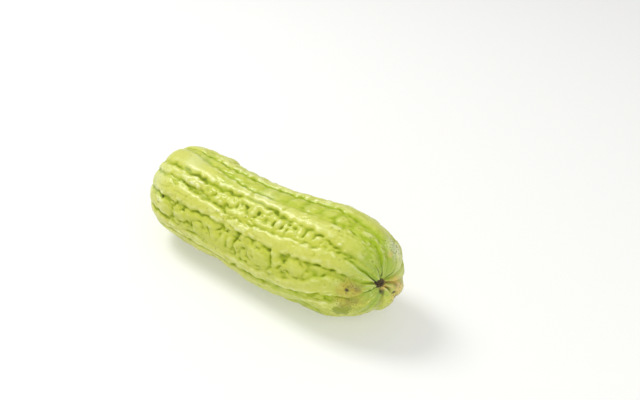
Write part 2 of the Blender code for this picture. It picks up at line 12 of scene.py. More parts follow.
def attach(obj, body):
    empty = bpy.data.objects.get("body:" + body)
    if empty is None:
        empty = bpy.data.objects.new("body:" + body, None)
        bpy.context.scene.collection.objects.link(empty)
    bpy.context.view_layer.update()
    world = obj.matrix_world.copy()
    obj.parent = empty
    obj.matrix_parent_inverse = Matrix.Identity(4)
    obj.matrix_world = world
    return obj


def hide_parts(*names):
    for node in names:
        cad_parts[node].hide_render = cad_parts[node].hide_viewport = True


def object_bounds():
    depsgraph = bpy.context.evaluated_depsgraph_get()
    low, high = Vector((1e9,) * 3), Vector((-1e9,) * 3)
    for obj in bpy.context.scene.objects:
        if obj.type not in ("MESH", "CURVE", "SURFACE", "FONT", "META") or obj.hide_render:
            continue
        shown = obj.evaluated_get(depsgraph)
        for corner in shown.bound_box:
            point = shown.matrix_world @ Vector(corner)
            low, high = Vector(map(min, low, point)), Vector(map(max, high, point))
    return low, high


bl_info = {
    "name": "Bitter Melon",
    "version": (1, 0, 0),
    "blender": (4, 5, 0),
    "location": "3D View > Sidebar > Melon",
    "description": "Grows a ribbed and warted bitter melon over its solid model and lights it in a studio",
    "category": "Add Mesh",
}

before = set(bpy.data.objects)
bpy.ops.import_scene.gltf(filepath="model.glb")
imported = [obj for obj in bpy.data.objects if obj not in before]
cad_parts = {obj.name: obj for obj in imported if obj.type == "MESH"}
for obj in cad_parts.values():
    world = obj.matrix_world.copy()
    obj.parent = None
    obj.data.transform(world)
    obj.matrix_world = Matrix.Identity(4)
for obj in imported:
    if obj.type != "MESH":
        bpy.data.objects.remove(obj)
SOLID_LOW, SOLID_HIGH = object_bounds()

MM = 0.001
NODE = "bitter_melon"
BODY = "root"
BUILT_IN = ("rna_type", "name")  # what every group of settings has besides its own

# The fruit's form. Places along it are in millimetres from its middle, angles in degrees from straight up.
LENGTH = 212.0
CREST_RADIUS = ((-106, 38.5), (-80, 37.4), (-42, 35.7), (-5, 35.6), (32, 37.2), (64, 37.8), (85, 35.0),
                (106, 32.0))
TROUGH_DEPTH = ((-106, 2.0), (-92, 2.7), (-60, 3.3), (0, 3.7), (60, 3.6), (84, 3.0), (98, 2.6),
                (106, 2.2))
BLOSSOM_ROUNDING = 56.0
BLOSSOM_SQUARENESS = 3.4
STEM_ROUNDING = 66.0
STEM_SQUARENESS = 3.8
STEM_DIMPLE = (3.0, 10.0)
BLOSSOM_DIMPLE = (1.6, 7.0)
SCAR_RADIUS = 4.0
SCAR_RISE = 0.6
SCAR_TILT = math.radians(-25)
POLE_FADE = (1.5, 6.0)
TIP_RADIUS = 34.0
TIP_SHARPNESS = 1.5
LIFT_START = 45.0
LOBE_RADIUS = 36.0

# Waves that make edges and swellings irregular: waves per fruit length, whole waves round it, start phase
EDGE_WAVES = ((8.7, 3, 20), (-14.1, 7, 105), (19.3, -5, 250), (24.7, 11, 330), (6.1, -12, 170))
SWELL_WAVES = ((4.3, 2, 60), (-7.9, 5, 200), (10.7, -3, 310), (2.9, -7, 140))
RUFFLE_WAVES = ((27.3, 9, 40), (-33.1, 14, 200), (38.7, -17, 310), (22.9, -21, 95), (8.3, 27, 150))

# Ribs, from the top round through the facing side: rows of x, upper edge, lower edge, share of full height.
# A share over 1 is a rib that reaches past the crest outline, to the surface that the fruit lies on.
RIBS = {
    "shoulder": ((-106, -32, -9, 1), (-60, -30, -12, 1), (0, -29, -14, 1), (60, -31, -13, 1),
                 (84, -37, -10, 1), (98, -33, -9, 1), (104, -23, -4, 1), (106, -27, -3, 1)),
    "top": ((-106, -6, 26, 1), (-90, -5, 27, 1), (-60, 0, 26, 1), (-30, 5, 25, 1), (0, 10, 22, 0.97),
            (20, 9, 23, 1), (40, 9, 28, 1), (60, 9, 30, 1), (80, 8, 37, 1), (92, 8, 40.5, 1),
            (98, 9.5, 43, 1), (101, 13, 46, 1), (103, 17, 48, 1), (104.5, 24, 49, 1), (106, 40, 51, 1)),
    "top_branch": ((-106, 28, 42, 1), (-90, 29, 42, 0.95), (-70, 28, 41.5, 0.92), (-46, 28.5, 39.5, 0.9),
                   (-40, 31, 37, 0.4), (-37, 33, 35, 0)),
    "facing": ((-106, 43, 66, 1), (-90, 44, 67, 1), (-60, 44, 67, 1), (-30, 46, 64.5, 1),
               (-10, 48, 63.5, 0.96), (0, 49, 64.5, 0.96), (20, 47.5, 64.5, 1), (40, 44.5, 64.5, 1),
               (60, 42.5, 63.5, 1), (80, 42, 62, 1), (87, 44, 64, 1), (92, 45, 66.5, 1), (97, 47, 67, 1),
               (101, 51, 65, 1), (104, 54, 63, 1), (106, 57, 62, 0.9)),
    "facing_branch": ((-106, 68, 90, 1), (-88, 70, 90.5, 1), (-70, 71, 90, 0.85), (-64, 75, 88, 0.4),
                      (-61, 78, 86, 0)),
    "flank": ((-106, 92, 108.5, 1), (-60, 92.5, 108.5, 1), (0, 93, 109.5, 1), (28, 92, 107.5, 1),
              (45, 87, 104, 1), (62, 81.5, 100, 1), (76, 71, 96, 1), (86, 68.5, 97, 1), (93, 72, 95, 1),
              (98, 73, 94, 1), (102, 71, 88, 1), (106, 67, 82, 1)),
    "low_flank": ((-106, 110, 134, 1), (0, 111, 134, 1), (40, 107.5, 134, 1), (62, 102.5, 135, 1),
                  (80, 101, 138, 1), (92, 99, 140, 1), (98, 97, 138, 1), (102, 91, 132, 1),
                  (106, 84, 127, 1)),
    "near_rest": ((-106, 137, 169, 1), (-78, 149, 172, 1.25), (-50, 150, 172, 1.1), (0, 152, 172, 1),
                  (70, 151, 173, 1), (98, 146, 172, 1), (106, 132, 163, 1)),
    "far_rest": ((-106, 171, 205, 1), (-78, 187, 209, 1.25), (-50, 188, 209, 1.1), (0, 189, 208, 1),
                 (70, 187, 207, 1), (98, 178, 205, 1), (106, 169, 207, 1)),
    "low_back": ((-106, 208, 248, 1), (-80, 222, 244, 1), (0, 223, 242, 1), (70, 221, 243, 1),
                 (98, 212, 247, 1), (106, 214, 247, 1)),
    "back": ((-106, 251, 283, 1), (-80, 257, 278, 1), (0, 259, 277, 1), (70, 257, 279, 1),
             (98, 253, 281, 1), (106, 254, 274, 1)),
    "high_back": ((-106, 286, 326, 1), (-80, 292, 314, 1), (0, 291, 310, 1), (70, 290, 312, 1),
                  (98, 286, 322, 1), (104, 280, 332, 1), (106, 277, 326, 1)),
    "stem_sliver": ((74, 0, 3, 0), (84, -3, 6, 0.8), (98, -5, 6, 0.9), (103, -2, 11, 1), (104.5, 0, 18, 1),
                    (106, 1, 34, 1)),
}

# Lobes between the ribs: x, angle, half length, half width in degrees, slant in degrees, height
LOBES = (
    (-72, -8, 11, 4.0, 4, 2.0), (-52, -6, 10, 4.5, 6, 2.4), (-38, -6, 8, 6.0, 8, 2.7),
    (-24, -4, 9, 7.5, 10, 3.0), (-10, -1, 8, 10.0, 8, 3.5), (4, -1, 7, 9.5, 0, 3.3),
    (16, -2, 7, 10.0, 5, 3.5), (29, -1, 6.8, 10.0, -5, 3.5), (43, -1, 7.2, 10.5, 0, 3.6),
    (57, -2, 6.8, 9.5, 8, 3.4), (68, -1, 6.0, 9.0, 0, 3.2), (79, -1, 5.0, 6.0, 0, 2.3),
    (-39, 31.5, 4.4, 3.8, 0, 2.5), (-34.5, 34, 4.4, 5.4, 20, 2.7), (-24, 35.5, 7.0, 8.0, -10, 3.6),
    (-14, 33.5, 6.8, 7.2, 5, 3.2), (-8, 43, 6.4, 3.4, 0, 2.4), (-3, 38, 3.8, 4.4, 0, 2.3),
    (6, 32, 4.6, 8.4, -8, 3.4), (6, 42.5, 4.8, 3.4, 0, 2.5), (12.5, 27.5, 4.8, 3.6, 10, 3.0),
    (12.5, 39.5, 2.9, 3.4, 0, 2.6), (16.7, 37.5, 2.8, 4.0, 0, 2.8), (18, 31, 3.8, 5.4, 0, 2.8),
    (20, 42, 3.2, 3.4, 0, 2.5), (24.3, 33, 3.9, 7.4, 0, 2.7), (31, 36, 3.7, 7.4, 0, 3.7),
    (36.5, 36.5, 2.9, 5.6, 0, 2.6), (42, 40.5, 3.8, 6.2, -10, 3.3), (41, 33.5, 3.2, 3.4, 0, 2.5),
    (48.6, 36.5, 3.9, 6.2, 10, 2.9), (56.7, 36.5, 4.5, 6.4, -10, 3.0), (64, 35.5, 3.9, 5.2, 0, 3.0),
    (69.2, 37, 2.8, 4.6, 0, 2.4), (74.2, 38.5, 3.0, 3.8, 0, 2.3), (77.8, 40.5, 2.2, 2.6, 0, 1.9),
    (-55, 79.5, 7.0, 8.6, 0, 3.2), (-51, 90.5, 6.4, 3.4, 0, 2.1), (-46, 74, 5.6, 6.6, 10, 2.9),
    (-38, 71.5, 6.4, 4.4, 0, 2.5), (-36, 83, 6.6, 8.2, 10, 3.2), (-27.5, 85.5, 6.0, 6.6, 25, 2.9),
    (-25, 72, 8.4, 6.4, 8, 3.1), (-18, 82, 5.6, 6.8, -40, 3.0), (-10.5, 80.5, 9.0, 5.4, -70, 3.2),
    (-4, 78.5, 7.6, 4.8, -80, 3.3), (4, 79, 3.9, 6.4, 0, 2.6), (9, 72.5, 4.1, 5.4, 0, 2.9),
    (10, 85.5, 3.9, 5.4, 0, 2.4), (5, 88.5, 3.5, 3.8, 0, 2.0), (24, 77, 11.6, 11.6, 4, 3.7),
    (40.5, 76, 4.3, 8.6, -10, 3.0), (47.2, 76.5, 3.5, 5.4, 0, 2.5), (50, 84, 4.3, 3.8, 10, 2.3),
    (43, 86.5, 4.3, 3.6, 0, 2.0), (55.5, 72.5, 7.8, 10.0, 0, 3.8), (66, 74.5, 4.3, 4.8, 0, 2.4),
    (71, 66, 4.5, 3.6, 0, 2.1), (-84, 109, 9, 3.0, 0, 2.2), (-58, 109, 9, 3.4, 6, 2.7),
    (-40, 109, 7, 3.6, -6, 2.9), (-24, 109, 8, 3.6, 5, 2.8), (-8, 110, 7, 3.8, 0, 3.0),
    (6, 109, 7, 3.4, -8, 2.9), (20, 108, 6, 3.6, 0, 3.0), (33, 107, 7, 3.6, 6, 2.8),
    (48, 105, 7, 3.4, -4, 2.7), (62, 101, 5, 2.8, 0, 2.3), (44, 88, 8, 5.0, -10, 3.0),
    (56, 84, 7, 5.0, -8, 3.0), (-10, 92, 7, 5.0, 0, 2.8), (20, 91, 8, 4.0, -4, 2.8),
    (-30, 92, 8, 4.0, 5, 2.6), (-52, 92, 8, 4.0, 0, 2.6), (-5, 64, 6, 5.0, 10, 3.2),
    (10, 66, 5, 4.0, 0, 3.2), (22, 65, 5, 3.5, 0, 3.2), (38, 66, 3.2, 8.0, 0, 3.5),
    (-8, 45, 8, 4.0, 0, 3.0), (14, 44, 5, 4.0, 0, 3.1), (36, 43, 4, 4.0, 0, 3.0), (50, 42, 5, 3.0, 0, 2.9),
    (-5, 26, 6, 4.0, 10, 3.0), (8, 25.5, 5, 3.0, -5, 3.2), (18, 27, 4, 3.5, 0, 3.0),
    (42, 29, 4, 3.0, 0, 2.8), (48, 31, 3, 3.0, 0, 2.8), (70, 31, 5, 3.0, 8, 2.6), (-6, 46, 13, 6.0, 0, 3.0),
    (18, 45, 13, 6.0, 0, 3.1), (42, 42.5, 13, 5.5, -3, 3.1), (64, 40.5, 11, 4.5, -2, 2.9),
    (4, 25.5, 13, 4.5, 0, 3.0), (26, 9, 16, 4.5, 0, 2.9), (54, 8.5, 12, 4.5, 0, 2.9),
    (-66, 44, 16, 3.0, 0, 2.4), (-45, 91, 14, 5.0, 0, 2.8), (-16, 92, 14, 6.0, 0, 3.0),
    (12, 92, 14, 5.0, 0, 2.9), (36, 89, 12, 5.0, -6, 3.1),
)

# Pits and creases pressed into ribs and lobes: x, angle, half length, half width in degrees, slant, depth
PITS = (
    (-53, 40.5, 22, 2.6, 0, 0.25), (-47, 26, 16, 2.0, 0, 0.25), (80, 10, 5, 1.6, 10, 0.7),
    (90, 12.5, 3, 1.6, 35, 0.8), (-30.5, 35, 4.0, 1.2, 90, 0.8), (-17, 39.5, 4.0, 1.6, 10, 0.78),
    (-8.3, 35, 4.0, 1.4, 80, 0.94), (-12, 31, 2.6, 2.0, 40, 0.7), (-1, 32.5, 2.6, 2.4, 30, 1.33),
    (0, 36, 2.6, 1.2, 90, 0.78), (11, 34, 1.8, 2.4, 90, 1.17), (14.6, 34.5, 1.4, 1.6, 0, 0.7),
    (23.5, 26.5, 3.2, 1.8, 12, 1.09), (30.5, 29.5, 4.2, 1.1, 25, 0.7), (27, 37, 3.4, 1.2, -68, 1.09),
    (34.2, 38, 4.0, 1.1, 90, 0.86), (38.7, 41, 3.6, 1.2, 90, 0.94), (38, 31.5, 2.4, 1.4, -10, 0.78),
    (43, 33.5, 2.6, 1.0, 30, 0.7), (46.6, 40, 2.8, 1.0, 60, 0.7), (52.5, 36, 3.6, 1.9, -78, 0.86),
    (56, 42.5, 3.8, 1.0, 0, 0.8), (60.8, 34, 2.8, 1.3, 90, 0.94), (63.8, 31, 2.8, 1.2, 0, 0.78),
    (67.2, 39.5, 2.0, 1.1, 70, 0.7), (72, 34.5, 2.6, 1.2, 10, 0.7), (76, 37, 2.6, 1.1, 20, 0.7),
    (79.4, 40, 1.8, 1.1, -60, 0.7), (-78, 71, 3.2, 1.6, 0, 1.01), (-61, 76.5, 4.0, 1.4, 90, 0.5),
    (-53, 72, 2.8, 2.0, 15, 0.6), (-43, 81.5, 4.2, 1.4, 75, 0.78), (-35, 75, 2.6, 1.0, -10, 0.7),
    (-31, 79, 2.0, 1.3, 30, 0.7), (-26, 77.5, 2.6, 1.2, 60, 0.8), (-15.5, 71.5, 4.6, 1.1, -55, 0.78),
    (-8, 69.5, 3.2, 1.2, 5, 0.8), (1.8, 73, 3.2, 1.8, -60, 0.78), (5.5, 71.5, 1.4, 1.6, 90, 0.86),
    (2, 90.5, 2.0, 1.8, -60, 1.01), (13, 93, 2.6, 1.4, -25, 0.86), (8, 93.5, 1.8, 1.4, 30, 0.8),
    (14, 80.5, 3.0, 1.5, 90, 0.94), (18.5, 81.5, 3.0, 1.3, 0, 0.7), (35.4, 76.5, 6.6, 1.4, 88, 0.78),
    (33, 87, 2.8, 1.2, -50, 0.86), (24, 90, 6.2, 1.2, -10, 0.7), (32.5, 66, 3.2, 1.1, 5, 0.7),
    (42.8, 78.5, 3.8, 1.4, -65, 1.01), (45, 70, 1.8, 1.4, 0, 0.7), (48, 81.5, 2.6, 1.1, 30, 0.7),
    (49, 61.5, 3.2, 1.1, -10, 0.78), (55.5, 61, 3.4, 1.1, 10, 0.78), (60.5, 67.5, 3.8, 1.3, 55, 1.01),
    (65.5, 71.5, 3.0, 1.2, 5, 0.7), (62.5, 75.5, 2.4, 1.1, -60, 0.7), (50.5, 80.5, 2.4, 1.2, 40, 0.7),
    (58, 82.5, 3.6, 1.3, -5, 0.78), (70, 61, 3.2, 1.1, -8, 0.8), (76, 62, 3.6, 1.1, 12, 0.8),
    (82.5, 62, 3.4, 1.1, -20, 0.8), (89, 64, 3.2, 1.2, 18, 0.7), (76.5, 70.5, 1.8, 1.8, -60, 0.8),
    (57, 101, 6.2, 1.1, -4, 0.7), (74, 104, 4.0, 1.1, 0, 0.6), (80, 103.5, 2.8, 1.4, 0, 0.7),
    (87, 91, 3.2, 1.2, -25, 0.4), (91, 97, 7.0, 1.2, 0, 0.7), (-3, 15, 1.6, 6.5, -25, 0.78),
    (27, 17, 1.6, 6.0, 20, 0.7), (-66, 24, 6.0, 1.6, 0, 0.8), (-9, 54, 3.2, 3.0, 0, 0.5),
    (-14, 53, 5.0, 1.4, 70, 0.5), (92, 77, 1.8, 2.4, 0, 0.7), (76, 15, 5.0, 1.4, 30, 0.5),
    (48, 17, 5.0, 1.2, -20, 0.5), (-60, 55, 9.0, 1.2, 3, 0.45), (26, 53, 5.0, 1.4, 10, 0.4),
)

# Grooves that run from the stem scar: angle at the scar, angle and radius where the groove ends, half width,
# depth
STAR = (
    (66, 42, 37, 0.9, 1.4), (42, 29, 25, 0.8, 1.0), (34, 6, 26, 0.8, 1.1), (290, 338, 24, 1.0, 1.3),
    (252, 250, 18, 0.8, 1.0), (212, 196, 17, 1.1, 1.4), (179, 168, 15, 0.9, 1.1), (130, 130, 13, 0.8, 0.7),
    (76, 90, 27, 0.9, 1.0), (65, 70, 34, 0.9, 0.6),
)

# Marks on the skin: x, angle, radius, softness of the edge, colour or speckle, strength
# The fresh green marks along the top, at angles from -14 to 5, are painted shade: greener, darker colour
# where the top lies in shadow.
MARKS = (
    (99, 2, 13.0, 0.6, "fresh", 0.8), (88, 5, 11.0, 0.7, "fresh", 0.6), (72, -6, 12.0, 0.8, "fresh", 0.5),
    (50, -6, 12.0, 0.8, "fresh", 0.5), (24, -5, 12.0, 0.8, "fresh", 0.5),
    (-4, -6, 12.0, 0.8, "fresh", 0.5), (-32, -10, 12.0, 0.8, "fresh", 0.5),
    (-60, -14, 11.0, 0.8, "fresh", 0.4), (94, 79.5, 5.8, 0.6, "tan", 0.85),
    (98, 81, 4.6, 0.6, "tan", 0.85), (89.5, 83, 4.2, 0.6, "tan", 0.75),
    (94, 80, 8.0, 0.6, "speckle", 0.8), (93, 82, 1.3, 0.7, "scar_dark", 0.95),
    (98.5, 80, 2.0, 0.8, "tan_dark", 0.6), (95.5, 77, 1.8, 0.8, "tan_dark", 0.4),
    (105, 200, 9.5, 0.7, "skin", 0.8), (105, 285, 6.0, 0.8, "crest", 0.4),
    (105, 226, 7.0, 0.6, "buff", 1.0), (106, 244, 5.0, 0.6, "buff", 1.0),
    (104, 222, 3.6, 0.7, "buff", 0.9), (105, 226, 7.0, 0.6, "speckle", 1.0),
    (105.8, 240, 2.2, 0.7, "tan_dark", 0.6), (105.6, 214, 1.5, 0.6, "scar_dark", 0.9),
    (104.4, 209, 1.4, 0.6, "scar_dark", 0.85), (102.5, 211, 1.0, 0.6, "scar_dark", 0.7),
    (105.2, 167, 1.1, 0.6, "scar_dark", 0.8), (105.0, 163, 3.0, 0.7, "tan_dark", 0.4),
    (87, 120, 6.2, 0.15, "bruise", 1.0), (91, 114, 4.0, 0.3, "bruise", 0.8),
    (90, 106, 6.5, 0.6, "speckle", 1.0), (98, 103, 4.5, 0.6, "speckle", 1.0),
    (96, 118, 4.5, 0.6, "speckle", 0.9), (91, 101, 5.4, 0.8, "tan", 0.55),
    (99, 106, 5.0, 0.8, "tan", 0.5), (94, 104, 2.4, 0.8, "tan_dark", 0.45),
    (98, 101, 2.0, 0.8, "tan_dark", 0.45), (89, 109, 2.0, 0.8, "tan_dark", 0.4),
    (103, 195, 5.0, 0.7, "speckle", 0.9), (101, 330, 7.0, 0.7, "bloom", 0.5),
    (101, 332, 9.0, 0.6, "speckle", 0.8), (103, 350, 2.0, 0.9, "buff", 0.6),
    (-77.5, 68.5, 1.5, 0.5, "scar_dark", 0.9), (-66, 10, 8.0, 0.9, "bloom", 0.2),
    (-90, 55, 9.0, 0.9, "bloom", 0.2), (6, 12, 8.0, 0.9, "bloom", 0.15),
    (100, 58, 5.0, 0.8, "fresh", 0.5),
)

# Broad swellings and flats of the body: x, angle, reach along it, reach round it in degrees, height
SWELLINGS = (
    (52, 321, 44, 45, 3.0), (-56, 320, 26, 40, 1.4), (104, 222, 26, 62, 3.4), (58, 128, 24, 28, -4.6),
    (12, 130, 20, 26, 1.2), (-28, 126, 18, 26, -2.4), (-66, 124, 34, 26, -2.2), (97, 158, 12, 30, -2.0),
)

# Bands between the ribs: first angle, last angle, first x, last x. Large lobes are drawn in the bands that
# face away, small ones fill every band.
FACING_BANDS = ((-12, 8, -84, 82), (28, 46, -42, 78), (66, 92, -62, 70))
HIDDEN_BANDS = ((134, 151, -84, 82), (172, 188, -84, 82), (208, 222, -84, 82), (243, 258, -84, 82),
                (278, 291, -84, 82), (311, 330, -84, 82))
LOBE_SEED = 41
STATIONS = 107

# How rows of large lobes are drawn: shift of the first, reach along the fruit, step to the next as a share
# of the reach, half width and shift as shares of the band's half width, slant and height
START_SHIFT = 6.0
LARGE_REACH = (3.6, 8.2)
LARGE_STEP = (0.72, 0.92)
LARGE_WIDTH = (0.9, 1.1)
LARGE_SHIFT = (-0.15, 0.15)
LARGE_SLANT = (-16, 16)
LARGE_HEIGHT = (2.6, 3.6)

# How often two lobes lie side by side instead: their place round the band and their half width as shares of
# its half width, then shift along the fruit, slant and height
PAIR_CHANCE = 0.35
PAIR_PLACE = 0.55
PAIR_WIDTH = 0.62
PAIR_SHIFT = (-1, 1)
PAIR_SLANT = (-14, 14)
PAIR_HEIGHT = (1.8, 2.7)

# How small lobes are drawn: degrees from row to row, spacing in a row and each step as a share of it, reach
# along the fruit, half width and shift in degrees, slant and height
SMALL_ROW = 8.0
SMALL_SPACING = 5.6
SMALL_STEP = (0.75, 1.25)
SMALL_REACH = (2.6, 4.4)
SMALL_WIDTH = (4.0, 6.8)
SMALL_SHIFT = (-2.5, 2.5)
SMALL_SLANT = (-45, 45)
SMALL_HEIGHT = (1.2, 2.3)

# Columns of the tables of lobes, pits and grooves, with the unit of each
DEGREE = math.radians(1)
LOBE_UNITS = {"place": MM, "centre": DEGREE, "half_length": MM, "half_width": DEGREE * LOBE_RADIUS * MM,
              "slant": DEGREE, "height": MM}
GROOVE_UNITS = {"first": DEGREE, "last": DEGREE, "reach": MM, "half_width": MM, "height": MM}

# Rules of the relief
OUTLINE_POINTS = 4000
NORMAL_STEP = 0.004  # share of the outline's length, either way
STATION_MARGIN = 0.001  # share of a step between stations
SCAR_TOP = 0.4  # share of the scar's radius
WAVE_GAIN = 1.5
NARROWEST_RIB = 1.0  # degrees
GROOVE_START = (0.6, 1.3)  # shares of the scar's radius
GROOVE_RUN_OUT = 0.65  # share of the groove's reach
FULL_GROOVE = 1.2  # millimetres deep

# Noise of the fine relief: waves per metre along and round the fruit, detail, roughness. The folds take their
# width from a setting.
FOLD_NOISE = (3.0, 0.55)
WRINKLE_NOISE = (70.0, 330.0, 2.0, 0.5)
FURROW_NOISE = (62.0, 150.0, 3.0, 0.6)
FURROW_PATCHES = (48.0, 48.0, 1.0, 0.5)
KNOB_NOISE = (180.0, 180.0, 2.0, 0.6)
FOLD_LEVEL = 0.14  # taken off the folds, so that they rise and fall about alike
FOLDS_ON_RIB = 0.2  # share of the folds' height that stays on a rib
OFF_RIB = (0.35, 0.9)  # shares of a rib's height between which they fade
FURROW_WIDTH = 0.16
FURROW_PATCH_EDGE = (0.38, 0.6)
HOLLOW_BLURS = ((10, 0.82), (45, 0.18))  # rounds of blur, and the share of each in what counts as level

# The dry scar: its mesh, its torn surface and its rings of strands
SCAR_MESH = {"Segments": 56, "Rings": 36}
SCAR_NOISE = {"Scale": 620.0, "Detail": 3.0, "Roughness": 0.6}
SCAR_HOLLOW = (0.25, 0.85)
SCAR_SINK = 0.7
SCAR_DOME = 0.6
SCAR_TEAR = 1.5
SCAR_RAGGED = 0.5
STRAND_SIDES = 7
STRAND_STEPS = 3
STRAND_TIP = 0.35
STRAND_WILD = 0.35
STRAND_SIZE = (0.6, 1.35)

# Rings of strands: how many, share of the scar's radius, thickness in millimetres, share of the fibre length,
# how far they lean out, seed
SCAR_RINGS = (("Fibres", 0.92, 0.22, 1.0, 1.2, 11), ("Bundles", 0.55, 0.30, 0.8, 0.2, 23),
              (5, 0.2, 0.30, 0.6, 0.1, 31))

# Heights over the skin round a point, in millimetres, between which each coat of colour sets in, and how far
# the mottled and the fine noise shift them
# The crease coat is painted shade: the darkest colour, where the relief lies deepest below its surroundings.
CREASE_LEVEL = (-0.75, -0.25)
TROUGH_LEVEL = (-0.46, 0.02)
# The crest and bloom coats are partly the pale wax of the crests and partly painted highlight on the rims and
# highest bumps.
CREST_LEVEL = (0.06, 0.42)
BLOOM_AND_HIGHLIGHT_LEVEL = (0.26, 0.62)
DEEP_LEVEL = (-0.1, -0.5)
# Fresh green marks lean into the hollows; those along the top are painted shade.
FRESH_GREEN_AND_SHADE_LEVEL = (0.3, -0.15)
MOTTLE_LEVEL = 0.30
FINE_LEVEL = 0.16

# Strengths of the coats of colour, and of the wax over them
FRESH_SHARE = 0.45
BLOOM_AND_HIGHLIGHT_SHARE = 0.7
FINE_SHARE = 0.22
GRAIN_SHARE = 0.12
GROOVE_SHARE = 0.75
BROWN_SHARE = 0.85
STAIN_SHARE = 0.5
PORE_SHARE = 0.5
WAX_COAT = 0.35

# Distances in millimetres from the stem scar, the scar's middle and the blossom scar over which a coat runs
# out, and how far its edge is frayed
GREEN_REACH = (40, 6)
GROOVE_REACH = (48, 16)
BROWN_REACH = (18, 5)
SCAR_REACH = (4.6, 3.2)
BLOSSOM_STAIN = (7, 2)
BLOSSOM_SCAR = (2.6, 1.6)
GREEN_FRAY = 16
BROWN_FRAY = 12
SCAR_FRAY = 3
FINE_FRAY = 2
MARK_FRAY = 0.8  # share of the mark's radius
RAY_WAVES = (30.0, 9.0)  # waves per metre outwards, and sideways for each turn of a radian
SCAR_SQUASH = (1.0, 0.66, 1.18)  # scale of the distances across the scar that make it an oval

# The studio, in metres where no unit is named. Each light has its name, how far it is towards the camera, to
# the camera's right and up from the target, and its size.
PHOTO_WIDTH = 640  # pixels
TARGET = (-0.0015, 0.0088)
FRAME_SHIFT = (44.2 / PHOTO_WIDTH, 26.5 / PHOTO_WIDTH)  # shares of the picture's width
SENSOR_WIDTH = 36.0  # millimetres
CLIP_RANGE = (0.01, 20.0)
FLOOR_SIZE = 8.0
HORIZON_FADE = (0.05, 0.9)  # sines of the height over the horizon
LIGHTS = (("key", -0.5, -0.75, 1.2, 0.6), ("top", -0.1, 0.0, 1.0, 1.2), ("fill", 0.9, 0.3, 0.55, 1.0))


def length_setting(name, description, default):
    """A size setting, with its default in millimetres."""
    return FloatProperty(name=name, description=description, default=default * MM, unit="LENGTH")


def angle_setting(name, description, default):
    """An angle setting, with its default in degrees."""
    return FloatProperty(name=name, description=description, default=math.radians(default), subtype="ANGLE")


def share_setting(name, description, default):
    """A setting that is a share of something."""
    return FloatProperty(name=name, description=description, default=default, subtype="FACTOR")


def number_setting(name, description, default):
    """A setting without a unit."""
    return FloatProperty(name=name, description=description, default=default)


def count_setting(name, description, default):
    """A setting that counts things."""
    return IntProperty(name=name, description=description, default=default, min=3)


def colour_setting(name, description, default):
    """A colour setting, with its default as red, green and blue."""
    return FloatVectorProperty(name=name, description=description, default=(*default, 1), size=4,
                               subtype="COLOR")


class MelonForm(bpy.types.PropertyGroup):
    """Sizes of the fruit and of its relief."""

    axis_height: length_setting("Axis Height", "Height of the fruit's axis over the floor", 35.1)
    side_bow: length_setting("Side Bow", "How far the middle bows to the facing side", 7.2)
    stem_lift: length_setting("Stem Lift", "How far the stem end rises off the floor", 3.0)
    tip_side: length_setting("Tip Side", "How far the stem scar sits to the facing side", 10.5)
    tip_lift: length_setting("Tip Lift", "How far the stem scar sits over the axis", 4.0)
    rib_shoulder: number_setting("Rib Shoulder", "How flat a rib is across its crest", 3.8)
    rib_roundness: number_setting("Rib Roundness", "How steeply a rib falls at its edges", 0.64)
    rib_blend: length_setting("Rib Blend", "Height over which a rib's foot is rounded", 1.4)
    lobe_shoulder: number_setting("Lobe Shoulder", "How flat a lobe is across its top", 2.1)
    lobe_roundness: number_setting("Lobe Roundness", "How steeply a lobe falls at its rim", 0.5)
    lobe_spread: number_setting("Lobe Spread", "Scale of every lobe's footprint", 1.25)
    lobe_blend: share_setting("Lobe Blend", "Share of its height over which a lobe's foot is rounded", 0.35)
    edge_wander: angle_setting("Edge Wander", "How far rib edges wander round the fruit", 1.3)
    length_wander: length_setting("Length Wander", "How far lobes wander along the fruit", 0.8)
    ruffle: length_setting("Ruffle", "How far the rims of ribs and lobes are ruffled", 0.3)
    trough_floor: share_setting("Trough Floor", "Height of the bare skin between lobes, share of a rib", 0.42)
    trough_waves: share_setting("Trough Waves", "How far the trough floor rises and falls", 0.08)
    skin_swell: length_setting("Skin Swell", "Height of the slow swellings of the skin", 0.3)
    pucker: length_setting("Pucker", "Height of the small folds on lobes and in troughs", 0.45)
    pucker_size: length_setting("Pucker Size", "Width of the small folds", 8.0)
    knobs: length_setting("Knobs", "Height of the low bumps all over the skin", 0.22)
    furrow: length_setting("Furrow", "Depth of the drawn-out creases in the skin", 0.7)
    wrinkle: length_setting("Wrinkle", "Height of the fine lengthwise wrinkles on the ribs", 0.22)
    rings: count_setting("Rings", "Rings of faces along the fruit", 300)
    segments: count_setting("Segments", "Faces round the fruit", 320)


class ScarForm(bpy.types.PropertyGroup):
    """Sizes of the dry stem scar."""

    radius: length_setting("Radius", "Radius of the scar", 3.4)
    rise: length_setting("Rise", "Height of the scar's torn middle", 0.8)
    fibre_length: length_setting("Fibre Length", "Length of the dry fibres on the scar's rim", 1.5)
    fibres: count_setting("Fibres", "Dry fibres on the scar's rim", 26)
    bundles: count_setting("Bundles", "Dry strands within the scar", 11)
    proportion: FloatVectorProperty(name="Proportion", description="Width, height and rise of the scar",
                                    default=(1.45, 0.85, 0.8), size=3)


